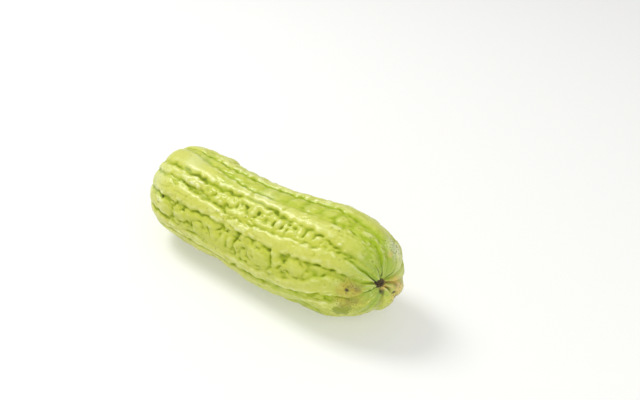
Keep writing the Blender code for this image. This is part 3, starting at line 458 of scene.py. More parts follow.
class MelonColours(bpy.types.PropertyGroup):
    """Colours of the skin, the scars and the marks on the skin."""

    # Crest is partly the paler wax of the crests and partly painted highlight on their rims.
    crest: colour_setting("Crest", "Waxy top of a rib or lobe", (0.73, 0.76, 0.28))
    skin: colour_setting("Skin", "Plain skin", (0.60, 0.62, 0.10))
    lobe: colour_setting("Lobe", "Skin of the lobes between the ribs", (0.55, 0.59, 0.06))
    trough: colour_setting("Trough", "Skin in the troughs", (0.34, 0.42, 0.008))
    # Crease is painted shade, laid at the bottom of deep creases.
    crease: colour_setting("Crease", "Bottom of a deep crease", (0.19, 0.25, 0.007))
    # Fresh green also serves as painted shade in the marks along the top.
    fresh: colour_setting("Fresh", "Greener, fresher patches of skin", (0.37, 0.51, 0.012))
    # Bloom is partly pale wax and partly painted highlight on the highest bumps and some pale patches.
    bloom: colour_setting("Bloom", "Pale wax on the highest bumps", (0.87, 0.90, 0.66))
    groove: colour_setting("Groove", "Grooves that run from the stem scar", (0.13, 0.20, 0.014))
    stem_green: colour_setting("Stem Green", "Fresh green round the stem scar", (0.20, 0.36, 0.02))
    pore: colour_setting("Pore", "Small dark pores and specks", (0.17, 0.23, 0.02))
    tan: colour_setting("Tan", "Rubbed and healed patches", (0.51, 0.43, 0.045))
    buff: colour_setting("Buff", "Pale rubbed skin beside the stem scar", (0.72, 0.52, 0.12))
    tan_dark: colour_setting("Dark Tan", "Specks in rubbed skin", (0.20, 0.16, 0.03))
    bruise: colour_setting("Bruise", "Smooth darker green patch", (0.28, 0.34, 0.008))
    scar: colour_setting("Scar", "Dry stem and blossom scars", (0.13, 0.09, 0.045))
    scar_dark: colour_setting("Scar Hollows", "Hollows of the dry scars", (0.028, 0.02, 0.012))


class StudioSettings(bpy.types.PropertyGroup):
    """Camera, light and floor."""

    azimuth: angle_setting("Azimuth", "Camera turn round the fruit", 42.3)
    elevation: angle_setting("Elevation", "Camera height over the horizon", 32.0)
    distance: length_setting("Distance", "Camera to the fruit's middle", 700.0)
    focal_length: number_setting("Focal Length", "Lens on a 36 mm wide sensor", 54.45)
    key_power: number_setting("Key Power", "Watts of the soft light over the far side", 14.0)
    top_power: number_setting("Top Power", "Watts of the soft light overhead", 2.0)
    fill_power: number_setting("Fill Power", "Watts of the soft light beside the camera", 4.7)
    backdrop: number_setting("Backdrop", "Strength of the white surroundings overhead", 0.25)
    horizon: number_setting("Horizon", "Strength of the white surroundings at the horizon", 0.68)
    floor_colour: colour_setting("Floor", "Floor colour", (0.655, 0.653, 0.634))
    floor_glow: number_setting("Floor Glow", "Light that the floor gives off by itself", 0.305)
    glow_colour: colour_setting("Glow Colour", "Colour of the floor's own light", (1.0, 0.998, 0.99))


def settings_of(group):
    """The settings of a property group: for each label, its kind as a tree input and its value."""
    found = {}
    for setting in group.bl_rna.properties:
        if setting.identifier in BUILT_IN:
            continue
        value = getattr(group, setting.identifier)
        if setting.is_array:
            found[setting.name] = ("Vector", tuple(value))
        else:
            found[setting.name] = (setting.type.title(), value)
    return found


def along(rows, x, column=1):
    """Read a column of a table smoothly at the places x, by a cubic through its rows."""
    knots = np.array([row[0] for row in rows], float)
    values = np.array([row[column] for row in rows], float)
    slopes = np.gradient(values, knots)
    x = np.clip(x, knots[0], knots[-1])
    i = np.clip(np.searchsorted(knots, x, side="right") - 1, 0, len(knots) - 2)
    span = knots[i + 1] - knots[i]
    t = (x - knots[i]) / span
    ends = values[i] * (1 + 2 * t) * (1 - t) ** 2 + values[i + 1] * t ** 2 * (3 - 2 * t)
    return ends + span * (slopes[i] * t * (1 - t) ** 2 - slopes[i + 1] * t ** 2 * (1 - t))


def fade(value, low, high):
    """Rise smoothly from 0 at low to 1 at high."""
    t = np.clip((value - low) / (high - low), 0.0, 1.0)
    return t * t * (3 - 2 * t)


def crest_outline():
    """Places and radii of the crest outline from the blossom end to the stem end, in millimetres."""
    x = -LENGTH / 2 * np.cos(np.linspace(0, math.pi, OUTLINE_POINTS))
    radius = along(CREST_RADIUS, x)
    for inwards, rounding, squareness in ((x + LENGTH / 2, BLOSSOM_ROUNDING, BLOSSOM_SQUARENESS),
                                          (LENGTH / 2 - x, STEM_ROUNDING, STEM_SQUARENESS)):
        past = np.clip(1 - inwards / rounding, 0, 1)
        radius = radius * (1 - past ** squareness) ** (1 / squareness)
    pressed = x - STEM_DIMPLE[0] * (1 - fade(radius, 0, STEM_DIMPLE[1])) * (x > 0)
    pressed = pressed + BLOSSOM_DIMPLE[0] * (1 - fade(radius, 0, BLOSSOM_DIMPLE[1])) * (x < 0)
    pressed = pressed + SCAR_RISE * (1 - fade(radius, SCAR_TOP * SCAR_RADIUS, SCAR_RADIUS)) * (x > 0)
    return pressed, radius


def drawn_lobes():
    """Draw rows of large lobes for the bands that face away, and small lobes that fill every band."""
    draw = random.Random(LOBE_SEED)
    lobes = []
    for first, last, start, end in HIDDEN_BANDS:
        middle = (first + last) / 2
        half = (last - first) / 2
        x = start + draw.uniform(0, START_SHIFT)
        while x < end:
            reach = draw.uniform(*LARGE_REACH)
            x += reach
            if draw.random() < PAIR_CHANCE:
                for side in (-1, 1):
                    place = x + draw.uniform(*PAIR_SHIFT)
                    slant = draw.uniform(*PAIR_SLANT)
                    height = draw.uniform(*PAIR_HEIGHT)
                    angle = middle + side * half * PAIR_PLACE
                    lobes.append((place, angle, reach, half * PAIR_WIDTH, slant, height))
            else:
                angle = middle + draw.uniform(*LARGE_SHIFT) * half
                half_width = half * draw.uniform(*LARGE_WIDTH)
                slant = draw.uniform(*LARGE_SLANT)
                height = draw.uniform(*LARGE_HEIGHT)
                lobes.append((x, angle, reach, half_width, slant, height))
            x += reach * draw.uniform(*LARGE_STEP)
    for first, last, start, end in FACING_BANDS + HIDDEN_BANDS:
        rows = max(round((last - first) / SMALL_ROW), 1)
        for row in range(rows):
            middle = first + (row + 0.5) * (last - first) / rows
            x = start + draw.uniform(0, SMALL_SPACING)
            while x < end:
                angle = middle + draw.uniform(*SMALL_SHIFT)
                half_length = draw.uniform(*SMALL_REACH)
                half_width = draw.uniform(*SMALL_WIDTH)
                slant = draw.uniform(*SMALL_SLANT)
                height = draw.uniform(*SMALL_HEIGHT)
                lobes.append((x, angle, half_length, half_width, slant, height))
                x += SMALL_SPACING * draw.uniform(*SMALL_STEP)
    return lobes


class Field:
    """A value in a node tree that can be used in a formula: a + b adds the node that sums them."""

    def __init__(self, tree, socket):
        self.tree = tree
        self.socket = socket

    def math(self, operation, *others):
        """This value and the others through one Math node."""
        node = self.tree.nodes.new("ShaderNodeMath")
        node.operation = operation
        for socket, value in zip(node.inputs, (self, *others)):
            feed(self.tree, socket, value)
        return Field(self.tree, node.outputs[0])

    def __add__(self, other):
        return self.math("ADD", other)

    def __sub__(self, other):
        return self.math("SUBTRACT", other)

    def __mul__(self, other):
        return self.math("MULTIPLY", other)

    def __truediv__(self, other):
        return self.math("DIVIDE", other)

    def __pow__(self, other):
        return self.math("POWER", other)

    def __neg__(self):
        return self.math("MULTIPLY", -1.0)

    def __abs__(self):
        return self.math("ABSOLUTE")

    def rest(self):
        """1 less this value."""
        return -self + 1.0

    def fade(self, low, high):
        """Rise smoothly from 0 at low to 1 at high."""
        node = self.tree.nodes.new("ShaderNodeMapRange")
        node.interpolation_type = "SMOOTHSTEP"
        for socket, value in zip(node.inputs, (self, low, high)):
            feed(self.tree, socket, value)
        return Field(self.tree, node.outputs[0])

    def limit(self, low, high):
        """This value kept between low and high."""
        return self.math("MAXIMUM", low).math("MINIMUM", high)

    def within_half_circle(self):
        """This angle less whole circles, between half a circle either way."""
        return self.math("WRAP", math.pi, -math.pi)


def feed(tree, socket, value):
    """Give a socket a field, another node's socket or a plain value."""
    if isinstance(value, Field):
        value = value.socket
    if isinstance(value, bpy.types.NodeSocket):
        tree.links.new(value, socket)
    else:
        socket.default_value = value


def new_node(tree, kind, inputs=(), **settings):
    """Add a node with its settings, and feed its inputs by name or number."""
    node = tree.nodes.new(kind)
    for name, value in settings.items():
        setattr(node, name, value)
    for name, value in dict(inputs).items():
        feed(tree, node.inputs[name], value)
    return node


def field(tree, kind, inputs=(), output=0, **settings):
    """Add a node and return one of its outputs as a field."""
    return Field(tree, new_node(tree, kind, inputs, **settings).outputs[output])


def parts_of(tree, vector):
    """The x, y and z of a vector as fields."""
    node = new_node(tree, "ShaderNodeSeparateXYZ", {0: vector})
    return tuple(Field(tree, socket) for socket in node.outputs)


def vector_of(tree, x, y, z):
    """A vector from its x, y and z."""
    return field(tree, "ShaderNodeCombineXYZ", {0: x, 1: y, 2: z})


def smooth_max(a, b, blend):
    """The larger of two heights, with the crease between them rounded over the blend height."""
    near = (blend - abs(a - b)).math("MAXIMUM", 0.0) / blend
    return a.math("MAXIMUM", b) + near * near * blend * 0.25


def wander(x, turn, waves, start):
    """Wavy wandering over the skin, about -1 to 1: waves that cross at unlike slants, from a start angle."""
    total = None
    for per_length, round_count, phase in waves:
        wave = x * (math.tau * per_length / (LENGTH * MM)) + turn * round_count + math.radians(phase + start)
        wave = wave.math("SINE")
        total = wave if total is None else total + wave
    return total * (WAVE_GAIN / len(waves))


def named(tree, *names):
    """Attributes of the geometry at hand: a field for one name, a list of fields for several."""
    kind = "GeometryNodeInputNamedAttribute"
    fields = [field(tree, kind, {"Name": name}, data_type="FLOAT") for name in names]
    return fields if len(fields) > 1 else fields[0]


def store(tree, geometry, **values):
    """Keep values on the points as attributes of those names and return the geometry."""
    for name, value in values.items():
        node = new_node(tree, "GeometryNodeStoreNamedAttribute", {"Geometry": geometry, "Name": name},
                        data_type="FLOAT")
        feed(tree, node.inputs["Value"], value)
        geometry = node.outputs["Geometry"]
    return geometry


def sample(tree, source, name, index):
    """An attribute of the source geometry's point with that index."""
    return field(tree, "GeometryNodeSampleIndex",
                 {"Geometry": source, "Value": named(tree, name), "Index": index})


def repeat(tree, geometry, count, step):
    """Run step(geometry, iteration) count times and return the geometry after the last."""
    start = tree.nodes.new("GeometryNodeRepeatInput")
    end = tree.nodes.new("GeometryNodeRepeatOutput")
    start.pair_with_output(end)
    feed(tree, start.inputs["Iterations"], count)
    feed(tree, start.inputs["Geometry"], geometry)
    changed = step(start.outputs["Geometry"], Field(tree, start.outputs["Iteration"]))
    feed(tree, end.inputs["Geometry"], changed)
    return end.outputs["Geometry"]


def link_new(name, data):
    """A new object with that data, linked to the scene."""
    made = bpy.data.objects.new(name, data)
    bpy.context.scene.collection.objects.link(made)
    return made


def point_cloud(name, columns):
    """A helper mesh of loose points that holds one float attribute for each column."""
    mesh = bpy.data.meshes.new(name)
    mesh.vertices.add(len(next(iter(columns.values()))))
    for column, values in columns.items():
        attribute = mesh.attributes.new(column, "FLOAT", "POINT")
        attribute.data.foreach_set("value", np.asarray(values, np.float32))
    return link_new(name, mesh)


def table_cloud(name, rows, units):
    """Helper points for the rows of a table, each column turned into metres or radians by its unit."""
    table = np.array(rows, float)
    return point_cloud(name, {column: table[:, i] * unit for i, (column, unit) in enumerate(units.items())})


def rib_cloud():
    """Helper points for the ribs: each rib's edges and height share at even stations along the fruit."""
    x = np.linspace(-LENGTH / 2, LENGTH / 2, STATIONS)
    upper, lower, share = [], [], []
    for rows in RIBS.values():
        inside = (x >= rows[0][0]) & (x <= rows[-1][0])
        upper.append(np.radians(along(rows, x, 1)))
        lower.append(np.radians(along(rows, x, 2)))
        share.append(np.clip(along(rows, x, 3), 0, None) * inside)
    depth = np.tile(along(TROUGH_DEPTH, x) * MM, len(RIBS))
    return point_cloud("rib_stations", {"upper": np.concatenate(upper), "lower": np.concatenate(lower),
                                        "share": np.concatenate(share), "depth": depth})


def outline_curve():
    """Helper curve of the crest outline, place along X and radius along Z."""
    place, radius = crest_outline()
    curve = bpy.data.curves.new("crest_outline", "CURVE")
    curve.dimensions = "3D"
    spline = curve.splines.new("POLY")
    spline.points.add(len(place) - 1)
    points = np.stack([place * MM, 0 * place, radius * MM, 1 + 0 * place], axis=-1)
    spline.points.foreach_set("co", points.astype(np.float32).ravel())
    return link_new("crest_outline", curve)


def grow(name, shape, inputs):
    """Run a tree once and return its plain mesh as an object at the origin.

    The function shape(tree, value) adds the tree's nodes, where value(label) reads an input. The inputs
    give a kind and a value for each label. The tree ends in realised instances and a material.
    """
    tree = bpy.data.node_groups.new(shape.__name__, "GeometryNodeTree")
    identifiers = {}
    for label, (kind, _) in inputs.items():
        socket = tree.interface.new_socket(label, in_out="INPUT", socket_type="NodeSocket" + kind)
        identifiers[label] = socket.identifier
    tree.interface.new_socket("Geometry", in_out="OUTPUT", socket_type="NodeSocketGeometry")
    given = tree.nodes.new("NodeGroupInput")
    geometry = shape(tree, lambda label: Field(tree, given.outputs[label]))
    geometry = new_node(tree, "GeometryNodeSetShadeSmooth", {"Geometry": geometry}).outputs[0]
    geometry = new_node(tree, "GeometryNodeRealizeInstances", {"Geometry": geometry}).outputs[0]
    painted = new_node(tree, "GeometryNodeSetMaterial",
                       {"Geometry": geometry, "Material": given.outputs["Material"]}).outputs[0]
    feed(tree, tree.nodes.new("NodeGroupOutput").inputs[0], painted)

    seed = link_new(name + "_seed", bpy.data.meshes.new(name + "_seed"))
    modifier = seed.modifiers.new("grow", "NODES")
    modifier.node_group = tree
    for label, (_, value) in inputs.items():
        modifier[identifiers[label]] = value
    bpy.context.view_layer.update()
    evaluated = seed.evaluated_get(bpy.context.evaluated_depsgraph_get())
    mesh = bpy.data.meshes.new_from_object(evaluated)
    mesh.name = name
    bpy.data.objects.remove(seed, do_unlink=True)
    return link_new(name, mesh)


def helper(tree, value, label):
    """The geometry of a helper object among the tree's inputs."""
    return new_node(tree, "GeometryNodeObjectInfo", {"Object": value(label)}).outputs["Geometry"]


def outline_at(tree, outline, factor):
    """Place and radius of the crest outline at a share of its length."""
    node = new_node(tree, "GeometryNodeSampleCurve", {"Curves": outline, "Factor": factor})
    place, _, radius = parts_of(tree, node.outputs["Position"])
    return place, radius


def station(tree, ribs, name, index, place):
    """A rib's edge or height share at a place along the fruit, between the two nearest stations."""
    last = STATIONS - 1
    step = ((place / (LENGTH * MM) + 0.5) * last).limit(0.0, last - STATION_MARGIN)
    low = step.math("FLOOR")
    first = sample(tree, ribs, name, low + index * STATIONS)
    second = sample(tree, ribs, name, low + index * STATIONS + 1.0)
    return first + (second - first) * (step - low)


def dome(tree, source, index, radius, shoulder, spread=1.0):
    """Height share of a lobe or pit over the skin, 1 at its middle and 0 from its rim outwards."""
    place, turn = named(tree, "skin_place", "skin_turn")
    lengthwise = place - sample(tree, source, "place", index)
    across = (turn - sample(tree, source, "centre", index)).within_half_circle() * radius
    slant = sample(tree, source, "slant", index)
    cosine = slant.math("COSINE")
    sine = slant.math("SINE")
    u = abs(lengthwise * cosine + across * sine) / sample(tree, source, "half_length", index)
    v = abs(across * cosine - lengthwise * sine) / sample(tree, source, "half_width", index)
    return ((u / spread) ** shoulder + (v / spread) ** shoulder).rest().limit(0.0, 1.0)


def lay_out_skin(tree, value):
    """A sphere whose points keep their place along the fruit, radius, turn round it and outward direction."""
    outline = helper(tree, value, "Outline")
    sphere = new_node(tree, "GeometryNodeMeshUVSphere",
                      {"Segments": value("Segments"), "Rings": value("Rings")})
    x, y, z = parts_of(tree, new_node(tree, "GeometryNodeInputPosition").outputs[0])
    share = (-z).math("ARCCOSINE") * (1 / math.pi)
    place, radius = outline_at(tree, outline, share)
    ahead_place, ahead_radius = outline_at(tree, outline, (share + NORMAL_STEP).math("MINIMUM", 1.0))
    behind_place, behind_radius = outline_at(tree, outline, (share - NORMAL_STEP).math("MAXIMUM", 0.0))
    rise_place = ahead_place - behind_place
    rise_radius = ahead_radius - behind_radius
    rise = (rise_place * rise_place + rise_radius * rise_radius).math("SQRT")
    return store(tree, sphere.outputs["Mesh"], normal_x=-rise_radius / rise, normal_r=rise_place / rise,
                 place=place, radius=radius, turn=y.math("ARCTAN2", x))


def raise_ribs(tree, value, geometry):
    """Let the rule's places wander, lay the troughs' floor and raise the ribs over it."""
    ribs = helper(tree, value, "Ribs")
    place, turn = named(tree, "place", "turn")
    edge = wander(place, turn, EDGE_WAVES, 0) * value("Edge Wander")
    ruffle = wander(place, turn, RUFFLE_WAVES, 90) * value("Ruffle") / (TIP_RADIUS * MM)
    geometry = store(tree, geometry, skin_turn=turn + edge + ruffle)
    edge = wander(place, turn, EDGE_WAVES, 90) * value("Length Wander")
    ruffle = wander(place, turn, RUFFLE_WAVES, 0) * value("Ruffle")
    geometry = store(tree, geometry, skin_place=place + edge + ruffle)
    zero = field(tree, "ShaderNodeValue")
    geometry = store(tree, geometry, depth=station(tree, ribs, "depth", zero, place), star=zero)
    skin_place, skin_turn, depth, height = named(tree, "skin_place", "skin_turn", "depth", "height")
    floor = wander(place, turn, EDGE_WAVES, 200) * value("Trough Waves") + value("Trough Floor")
    geometry = store(tree, geometry, height=depth * floor)

    def raise_rib(shape, index):
        upper = station(tree, ribs, "upper", index, skin_place)
        lower = station(tree, ribs, "lower", index, skin_place)
        offset = (skin_turn - (upper + lower) * 0.5).within_half_circle()
        across = abs(offset) / ((lower - upper) * 0.5).math("MAXIMUM", math.radians(NARROWEST_RIB / 2))
        crest = (across ** value("Rib Shoulder")).rest().limit(0.0, 1.0) ** value("Rib Roundness")
        rib = depth * station(tree, ribs, "share", index, skin_place) * crest
        return store(tree, shape, height=smooth_max(height, rib, value("Rib Blend")))

    geometry = repeat(tree, geometry, len(RIBS), raise_rib)
    return store(tree, geometry, rib=height / depth)


def raise_lobes(tree, value, geometry):
    """Raise the lobes between the ribs, then press in the pits and creases."""
    lobes = helper(tree, value, "Lobes")
    pits = helper(tree, value, "Pits")
    radius, depth, height = named(tree, "radius", "depth", "height")

    def raise_lobe(shape, index):
        share = dome(tree, lobes, index, radius, value("Lobe Shoulder"), value("Lobe Spread"))
        tall = sample(tree, lobes, "height", index)
        lobe = tall.math("MINIMUM", depth) * share ** value("Lobe Roundness")
        return store(tree, shape, height=smooth_max(height, lobe, tall * value("Lobe Blend")))

    def press_pit(shape, index):
        share = dome(tree, pits, index, radius, value("Lobe Shoulder"))
        return store(tree, shape, height=height - sample(tree, pits, "height", index) * share.fade(0.0, 1.0))

    geometry = repeat(tree, geometry, value("Lobe Count"), raise_lobe)
    return repeat(tree, geometry, value("Pit Count"), press_pit)


def press_grooves(tree, value, geometry):
    """Press in the grooves that run from the stem scar, and keep how deep each point is in them."""
    star = helper(tree, value, "Star")
    place, radius, skin_turn, height = named(tree, "place", "radius", "skin_turn", "height")

    def press_groove(shape, index):
        first = sample(tree, star, "first", index)
        last = sample(tree, star, "last", index)
        reach = sample(tree, star, "reach", index)
        way = ((radius - SCAR_RADIUS * MM) / (reach - SCAR_RADIUS * MM)).limit(0.0, 1.0)
        across = (skin_turn - (first + (last - first) * way)).within_half_circle() * radius
        groove = ((across / sample(tree, star, "half_width", index)) ** 2.0).rest().limit(0.0, 1.0)
        groove = groove * radius.fade(reach * GROOVE_RUN_OUT, reach).rest() * place.math("GREATER_THAN", 0.0)
        groove = groove * radius.fade(*(share * SCAR_RADIUS * MM for share in GROOVE_START))
        deep = sample(tree, star, "height", index)
        seen = groove * (deep / (FULL_GROOVE * MM)).math("MINIMUM", 1.0)
        return store(tree, shape, star=named(tree, "star").math("MAXIMUM", seen),
                     height=height - deep * groove)

    return repeat(tree, geometry, value("Star Count"), press_groove)


def swell_skin(tree, value, geometry):
    """Swell and flatten the skin broadly."""
    place, turn = named(tree, "place", "turn")
    swell = wander(place, turn, SWELL_WAVES, 0) * value("Skin Swell")
    for centre, middle, reach, width, rise in SWELLINGS:
        lengthwise = (place - centre * MM) / (reach * MM)
        across = (turn - math.radians(middle)).within_half_circle() / math.radians(width)
        away = (lengthwise * lengthwise + across * across).math("SQRT")
        swell = swell + away.fade(0.0, 1.0).rest() * (rise * MM)
    return store(tree, geometry, height=named(tree, "height") + swell)


def fold_skin(tree, value, geometry):
    """Add folds, wrinkles, creases and knobs, and keep the relief and how hollow each point lies."""
    place, radius, turn = named(tree, "place", "radius", "turn")

    def pattern(per_metre, per_metre_round, detail, roughness):
        spot = vector_of(tree, place * per_metre, turn.math("SINE") * radius * per_metre_round,
                         turn.math("COSINE") * radius * per_metre_round)
        return field(tree, "ShaderNodeTexNoise",
                     {"Vector": spot, "Scale": 1.0, "Detail": detail, "Roughness": roughness})

    def both_ways(noise):
        return (noise - 0.5) * 2.0

    per_fold = value("Pucker Size").math("POWER", -1.0)
    folds = abs(both_ways(pattern(per_fold, per_fold, *FOLD_NOISE))) - FOLD_LEVEL
    off_rib = named(tree, "rib").fade(*OFF_RIB).rest() * (1 - FOLDS_ON_RIB) + FOLDS_ON_RIB
    lines = both_ways(pattern(*WRINKLE_NOISE)) * value("Wrinkle")
    furrows = abs(both_ways(pattern(*FURROW_NOISE))).fade(0.0, FURROW_WIDTH).rest()
    furrows = furrows * pattern(*FURROW_PATCHES).fade(*FURROW_PATCH_EDGE) * value("Furrow")
    knobs = both_ways(pattern(*KNOB_NOISE)) * value("Knobs")
    height, depth, relief = named(tree, "height", "depth", "relief")
    whole = height - depth + folds * off_rib * value("Pucker") + (lines - furrows) + knobs
    geometry = store(tree, geometry, relief=whole * radius.fade(POLE_FADE[0] * MM, POLE_FADE[1] * MM))

    def blurred(name, rounds):
        return field(tree, "GeometryNodeBlurAttribute", {"Value": named(tree, name), "Iterations": rounds},
                     data_type="FLOAT")

    hollow = relief
    for rounds, share in HOLLOW_BLURS:
        hollow = hollow - blurred("relief", rounds) * share
    geometry = store(tree, geometry, hollow=hollow / MM)
    return store(tree, geometry, hollow=blurred("hollow", 1))


def bend_skin(tree, value, geometry):
    """Lift the skin by its relief, bow the fruit, tilt its stem end and centre it over the origin."""
    place, radius, turn, relief = named(tree, "place", "radius", "turn", "relief")
    normal_x, normal_r = named(tree, "normal_x", "normal_r")
    out_place = place + normal_x * relief
    out_radius = (radius + normal_r * relief).math("MAXIMUM", 0.0)
    bowed = (out_place * (2 / (LENGTH * MM))) ** 2.0
    tip = (radius / (TIP_RADIUS * MM)).rest().limit(0.0, 1.0) ** TIP_SHARPNESS
    tip = tip * place.math("GREATER_THAN", 0.0)
    side = -(bowed.rest() * value("Side Bow")) - tip * value("Tip Side") - out_radius * turn.math("SINE")
    lift = out_place.fade(LIFT_START * MM, LENGTH / 2 * MM) * value("Stem Lift")
    lift = value("Axis Height") + lift + tip * value("Tip Lift")
    up = (lift + out_radius * turn.math("COSINE")).math("MAXIMUM", 0.0)
    shaped = new_node(tree, "GeometryNodeSetPosition",
                      {"Geometry": geometry, "Position": vector_of(tree, out_place, side, up)}).outputs[0]
    box = new_node(tree, "GeometryNodeBoundBox", {"Geometry": shaped})
    low_x, low_y, _ = parts_of(tree, box.outputs["Min"])
    high_x, high_y, _ = parts_of(tree, box.outputs["Max"])
    shift = vector_of(tree, (low_x + high_x) * -0.5, (low_y + high_y) * -0.5, 0.0)
    return new_node(tree, "GeometryNodeSetPosition", {"Geometry": shaped, "Offset": shift}).outputs[0]


def ridged_skin(tree, value):
    """Turn a sphere into the fruit's skin, step by step."""
    geometry = lay_out_skin(tree, value)
    for step in (raise_ribs, raise_lobes, press_grooves, swell_skin, fold_skin, bend_skin):
        geometry = step(tree, value, geometry)
    return geometry


def dry_scar(tree, value):
    """A torn, sunken disc with a ring of strands and a rim of short fibres, facing +Z until it is turned."""
    ball = new_node(tree, "GeometryNodeMeshUVSphere", {**SCAR_MESH, "Radius": value("Radius")})
    x, y, z = parts_of(tree, new_node(tree, "GeometryNodeInputPosition").outputs[0])
    torn = field(tree, "ShaderNodeTexNoise", {"Vector": vector_of(tree, x, y, z), **SCAR_NOISE}) - 0.5
    reach = (x * x + y * y).math("SQRT") / value("Radius")
    sink = reach.fade(*SCAR_HOLLOW).rest() * -SCAR_SINK
    up = z / value("Radius") * value("Rise") * SCAR_DOME + (sink + torn * SCAR_TEAR) * value("Rise")
    ragged = torn * SCAR_RAGGED + 1.0
    spread = vector_of(tree, x * ragged, y * ragged, up)
    disc = new_node(tree, "GeometryNodeSetPosition",
                    {"Geometry": ball.outputs["Mesh"], "Position": spread})

    def ring(count, share, thickness, length_share, tilt, seed):
        circle = new_node(tree, "GeometryNodeMeshCircle",
                          {"Vertices": count, "Radius": value("Radius") * share})
        strand = new_node(tree, "GeometryNodeMeshCone",
                          {"Vertices": STRAND_SIDES, "Side Segments": STRAND_STEPS,
                           "Radius Top": thickness * STRAND_TIP, "Radius Bottom": thickness,
                           "Depth": value("Fibre Length") * length_share})
        outward = new_node(tree, "GeometryNodeInputPosition").outputs[0]
        lean = field(tree, "ShaderNodeVectorMath", {0: outward}, operation="NORMALIZE")
        lean_x, lean_y, _ = parts_of(tree, lean)
        turned = field(tree, "FunctionNodeAlignRotationToVector",
                       {"Vector": vector_of(tree, lean_x * tilt, lean_y * tilt, 1.0)}, axis="Z")
        wild = field(tree, "FunctionNodeRandomValue",
                     {0: (-STRAND_WILD,) * 3, 1: (STRAND_WILD,) * 3, "Seed": seed}, data_type="FLOAT_VECTOR")
        bent = field(tree, "FunctionNodeRotateRotation", {"Rotation": turned, "Rotate By": wild})
        size = field(tree, "FunctionNodeRandomValue",
                     {2: STRAND_SIZE[0], 3: STRAND_SIZE[1], "Seed": seed + 1}, output=1)
        return field(tree, "GeometryNodeInstanceOnPoints",
                     {"Points": circle.outputs["Mesh"], "Instance": strand.outputs["Mesh"], "Rotation": bent,
                      "Scale": size})

    join = new_node(tree, "GeometryNodeJoinGeometry")
    tree.links.new(disc.outputs[0], join.inputs[0])
    for count, share, thickness, length_share, tilt, seed in SCAR_RINGS:
        strands = value(count) if isinstance(count, str) else count
        tree.links.new(ring(strands, share, thickness * MM, length_share, tilt, seed).socket, join.inputs[0])
    return new_node(tree, "GeometryNodeTransform",
                    {"Geometry": join.outputs[0], "Translation": value("Place"), "Rotation": value("Turn"),
                     "Scale": value("Proportion")}).outputs[0]


def principled(name):
    """A new material and its tree, shader and Object coordinates."""
    material = bpy.data.materials.new(name)
    material.use_nodes = True
    tree = material.node_tree
    shader = tree.nodes["Principled BSDF"]
    spot = new_node(tree, "ShaderNodeTexCoord").outputs["Object"]
    return material, tree, shader, spot


def set_shader(tree, shader, **inputs):
    """Feed a shader's inputs, each named as the shader does, with underscores for spaces."""
    for name, value in inputs.items():
        feed(tree, shader.inputs[name.replace("_", " ")], value)


def noise(tree, spot, scale, detail=3.0, roughness=0.55, stretch=(1, 1, 1)):
    """Noise about 0 to 1 over the coordinates, in waves per metre along each axis."""
    placed = new_node(tree, "ShaderNodeMapping", {"Vector": spot, "Scale": [scale * s for s in stretch]})
    return field(tree, "ShaderNodeTexNoise",
                 {"Vector": placed.outputs[0], "Scale": 1.0, "Detail": detail, "Roughness": roughness})


def cells(tree, spot, scale):
    """Distance to the middle of the nearest of many scattered cells."""
    return field(tree, "ShaderNodeTexVoronoi", {"Vector": spot, "Scale": scale, "Randomness": 1.0})


def distance_to(tree, spot, place):
    """Distance from the coordinates to a place, in metres."""
    return field(tree, "ShaderNodeVectorMath", {0: spot, 1: tuple(place)}, output="Value",
                 operation="DISTANCE")


class Coats:
    """Colour built up in coats, each laid over the last where its share is 1."""

    def __init__(self, tree, colours, first):
        self.tree = tree
        self.colours = colours
        self.colour = self.pick(first)

    def pick(self, colour):
        """A colour of the settings by its name, or the colour itself."""
        return tuple(getattr(self.colours, colour)) if isinstance(colour, str) else colour

    def mix(self, share, a, b):
        """Colour a where the share is 0 and b where it is 1."""
        node = new_node(self.tree, "ShaderNodeMix", data_type="RGBA")
        feed(self.tree, node.inputs["Factor"], share)
        feed(self.tree, node.inputs[6], self.pick(a))
        feed(self.tree, node.inputs[7], self.pick(b))
        return node.outputs[2]

    def lay(self, share, colour):
        """Lay a colour over the last where the share is 1."""
        self.colour = self.mix(share, self.colour, colour)


def values_of(mesh, name):
    """An attribute of every point of a mesh."""
    values = np.empty(len(mesh.vertices), np.float32)
    mesh.attributes[name].data.foreach_get("value", values)
    return values


def spot_on_skin(mesh, place, angle):
    """Where the skin is at a place along the fruit and an angle round it, read from the finished mesh."""
    off = (values_of(mesh, "turn") - math.radians(angle) + math.pi) % math.tau - math.pi
    away = (values_of(mesh, "place") - place * MM) ** 2 + (off * LOBE_RADIUS * MM) ** 2
    return mesh.vertices[int(np.argmin(away))].co.copy()


def pole_of(mesh, side):
    """Where the middle of an end of the fruit is, with side 1 for the stem end and -1 for the blossom end."""
    away = values_of(mesh, "radius") + (values_of(mesh, "place") * side < 0)
    return mesh.vertices[int(np.argmin(away))].co.copy()


def within(distance, reach):
    """Rise from 0 to 1 between two distances in millimetres."""
    return distance.fade(reach[0] * MM, reach[1] * MM)


def frayed(distance, fray, pattern):
    """A distance, frayed by a pattern over that many millimetres in all."""
    return distance + (pattern - 0.5) * (fray * MM)


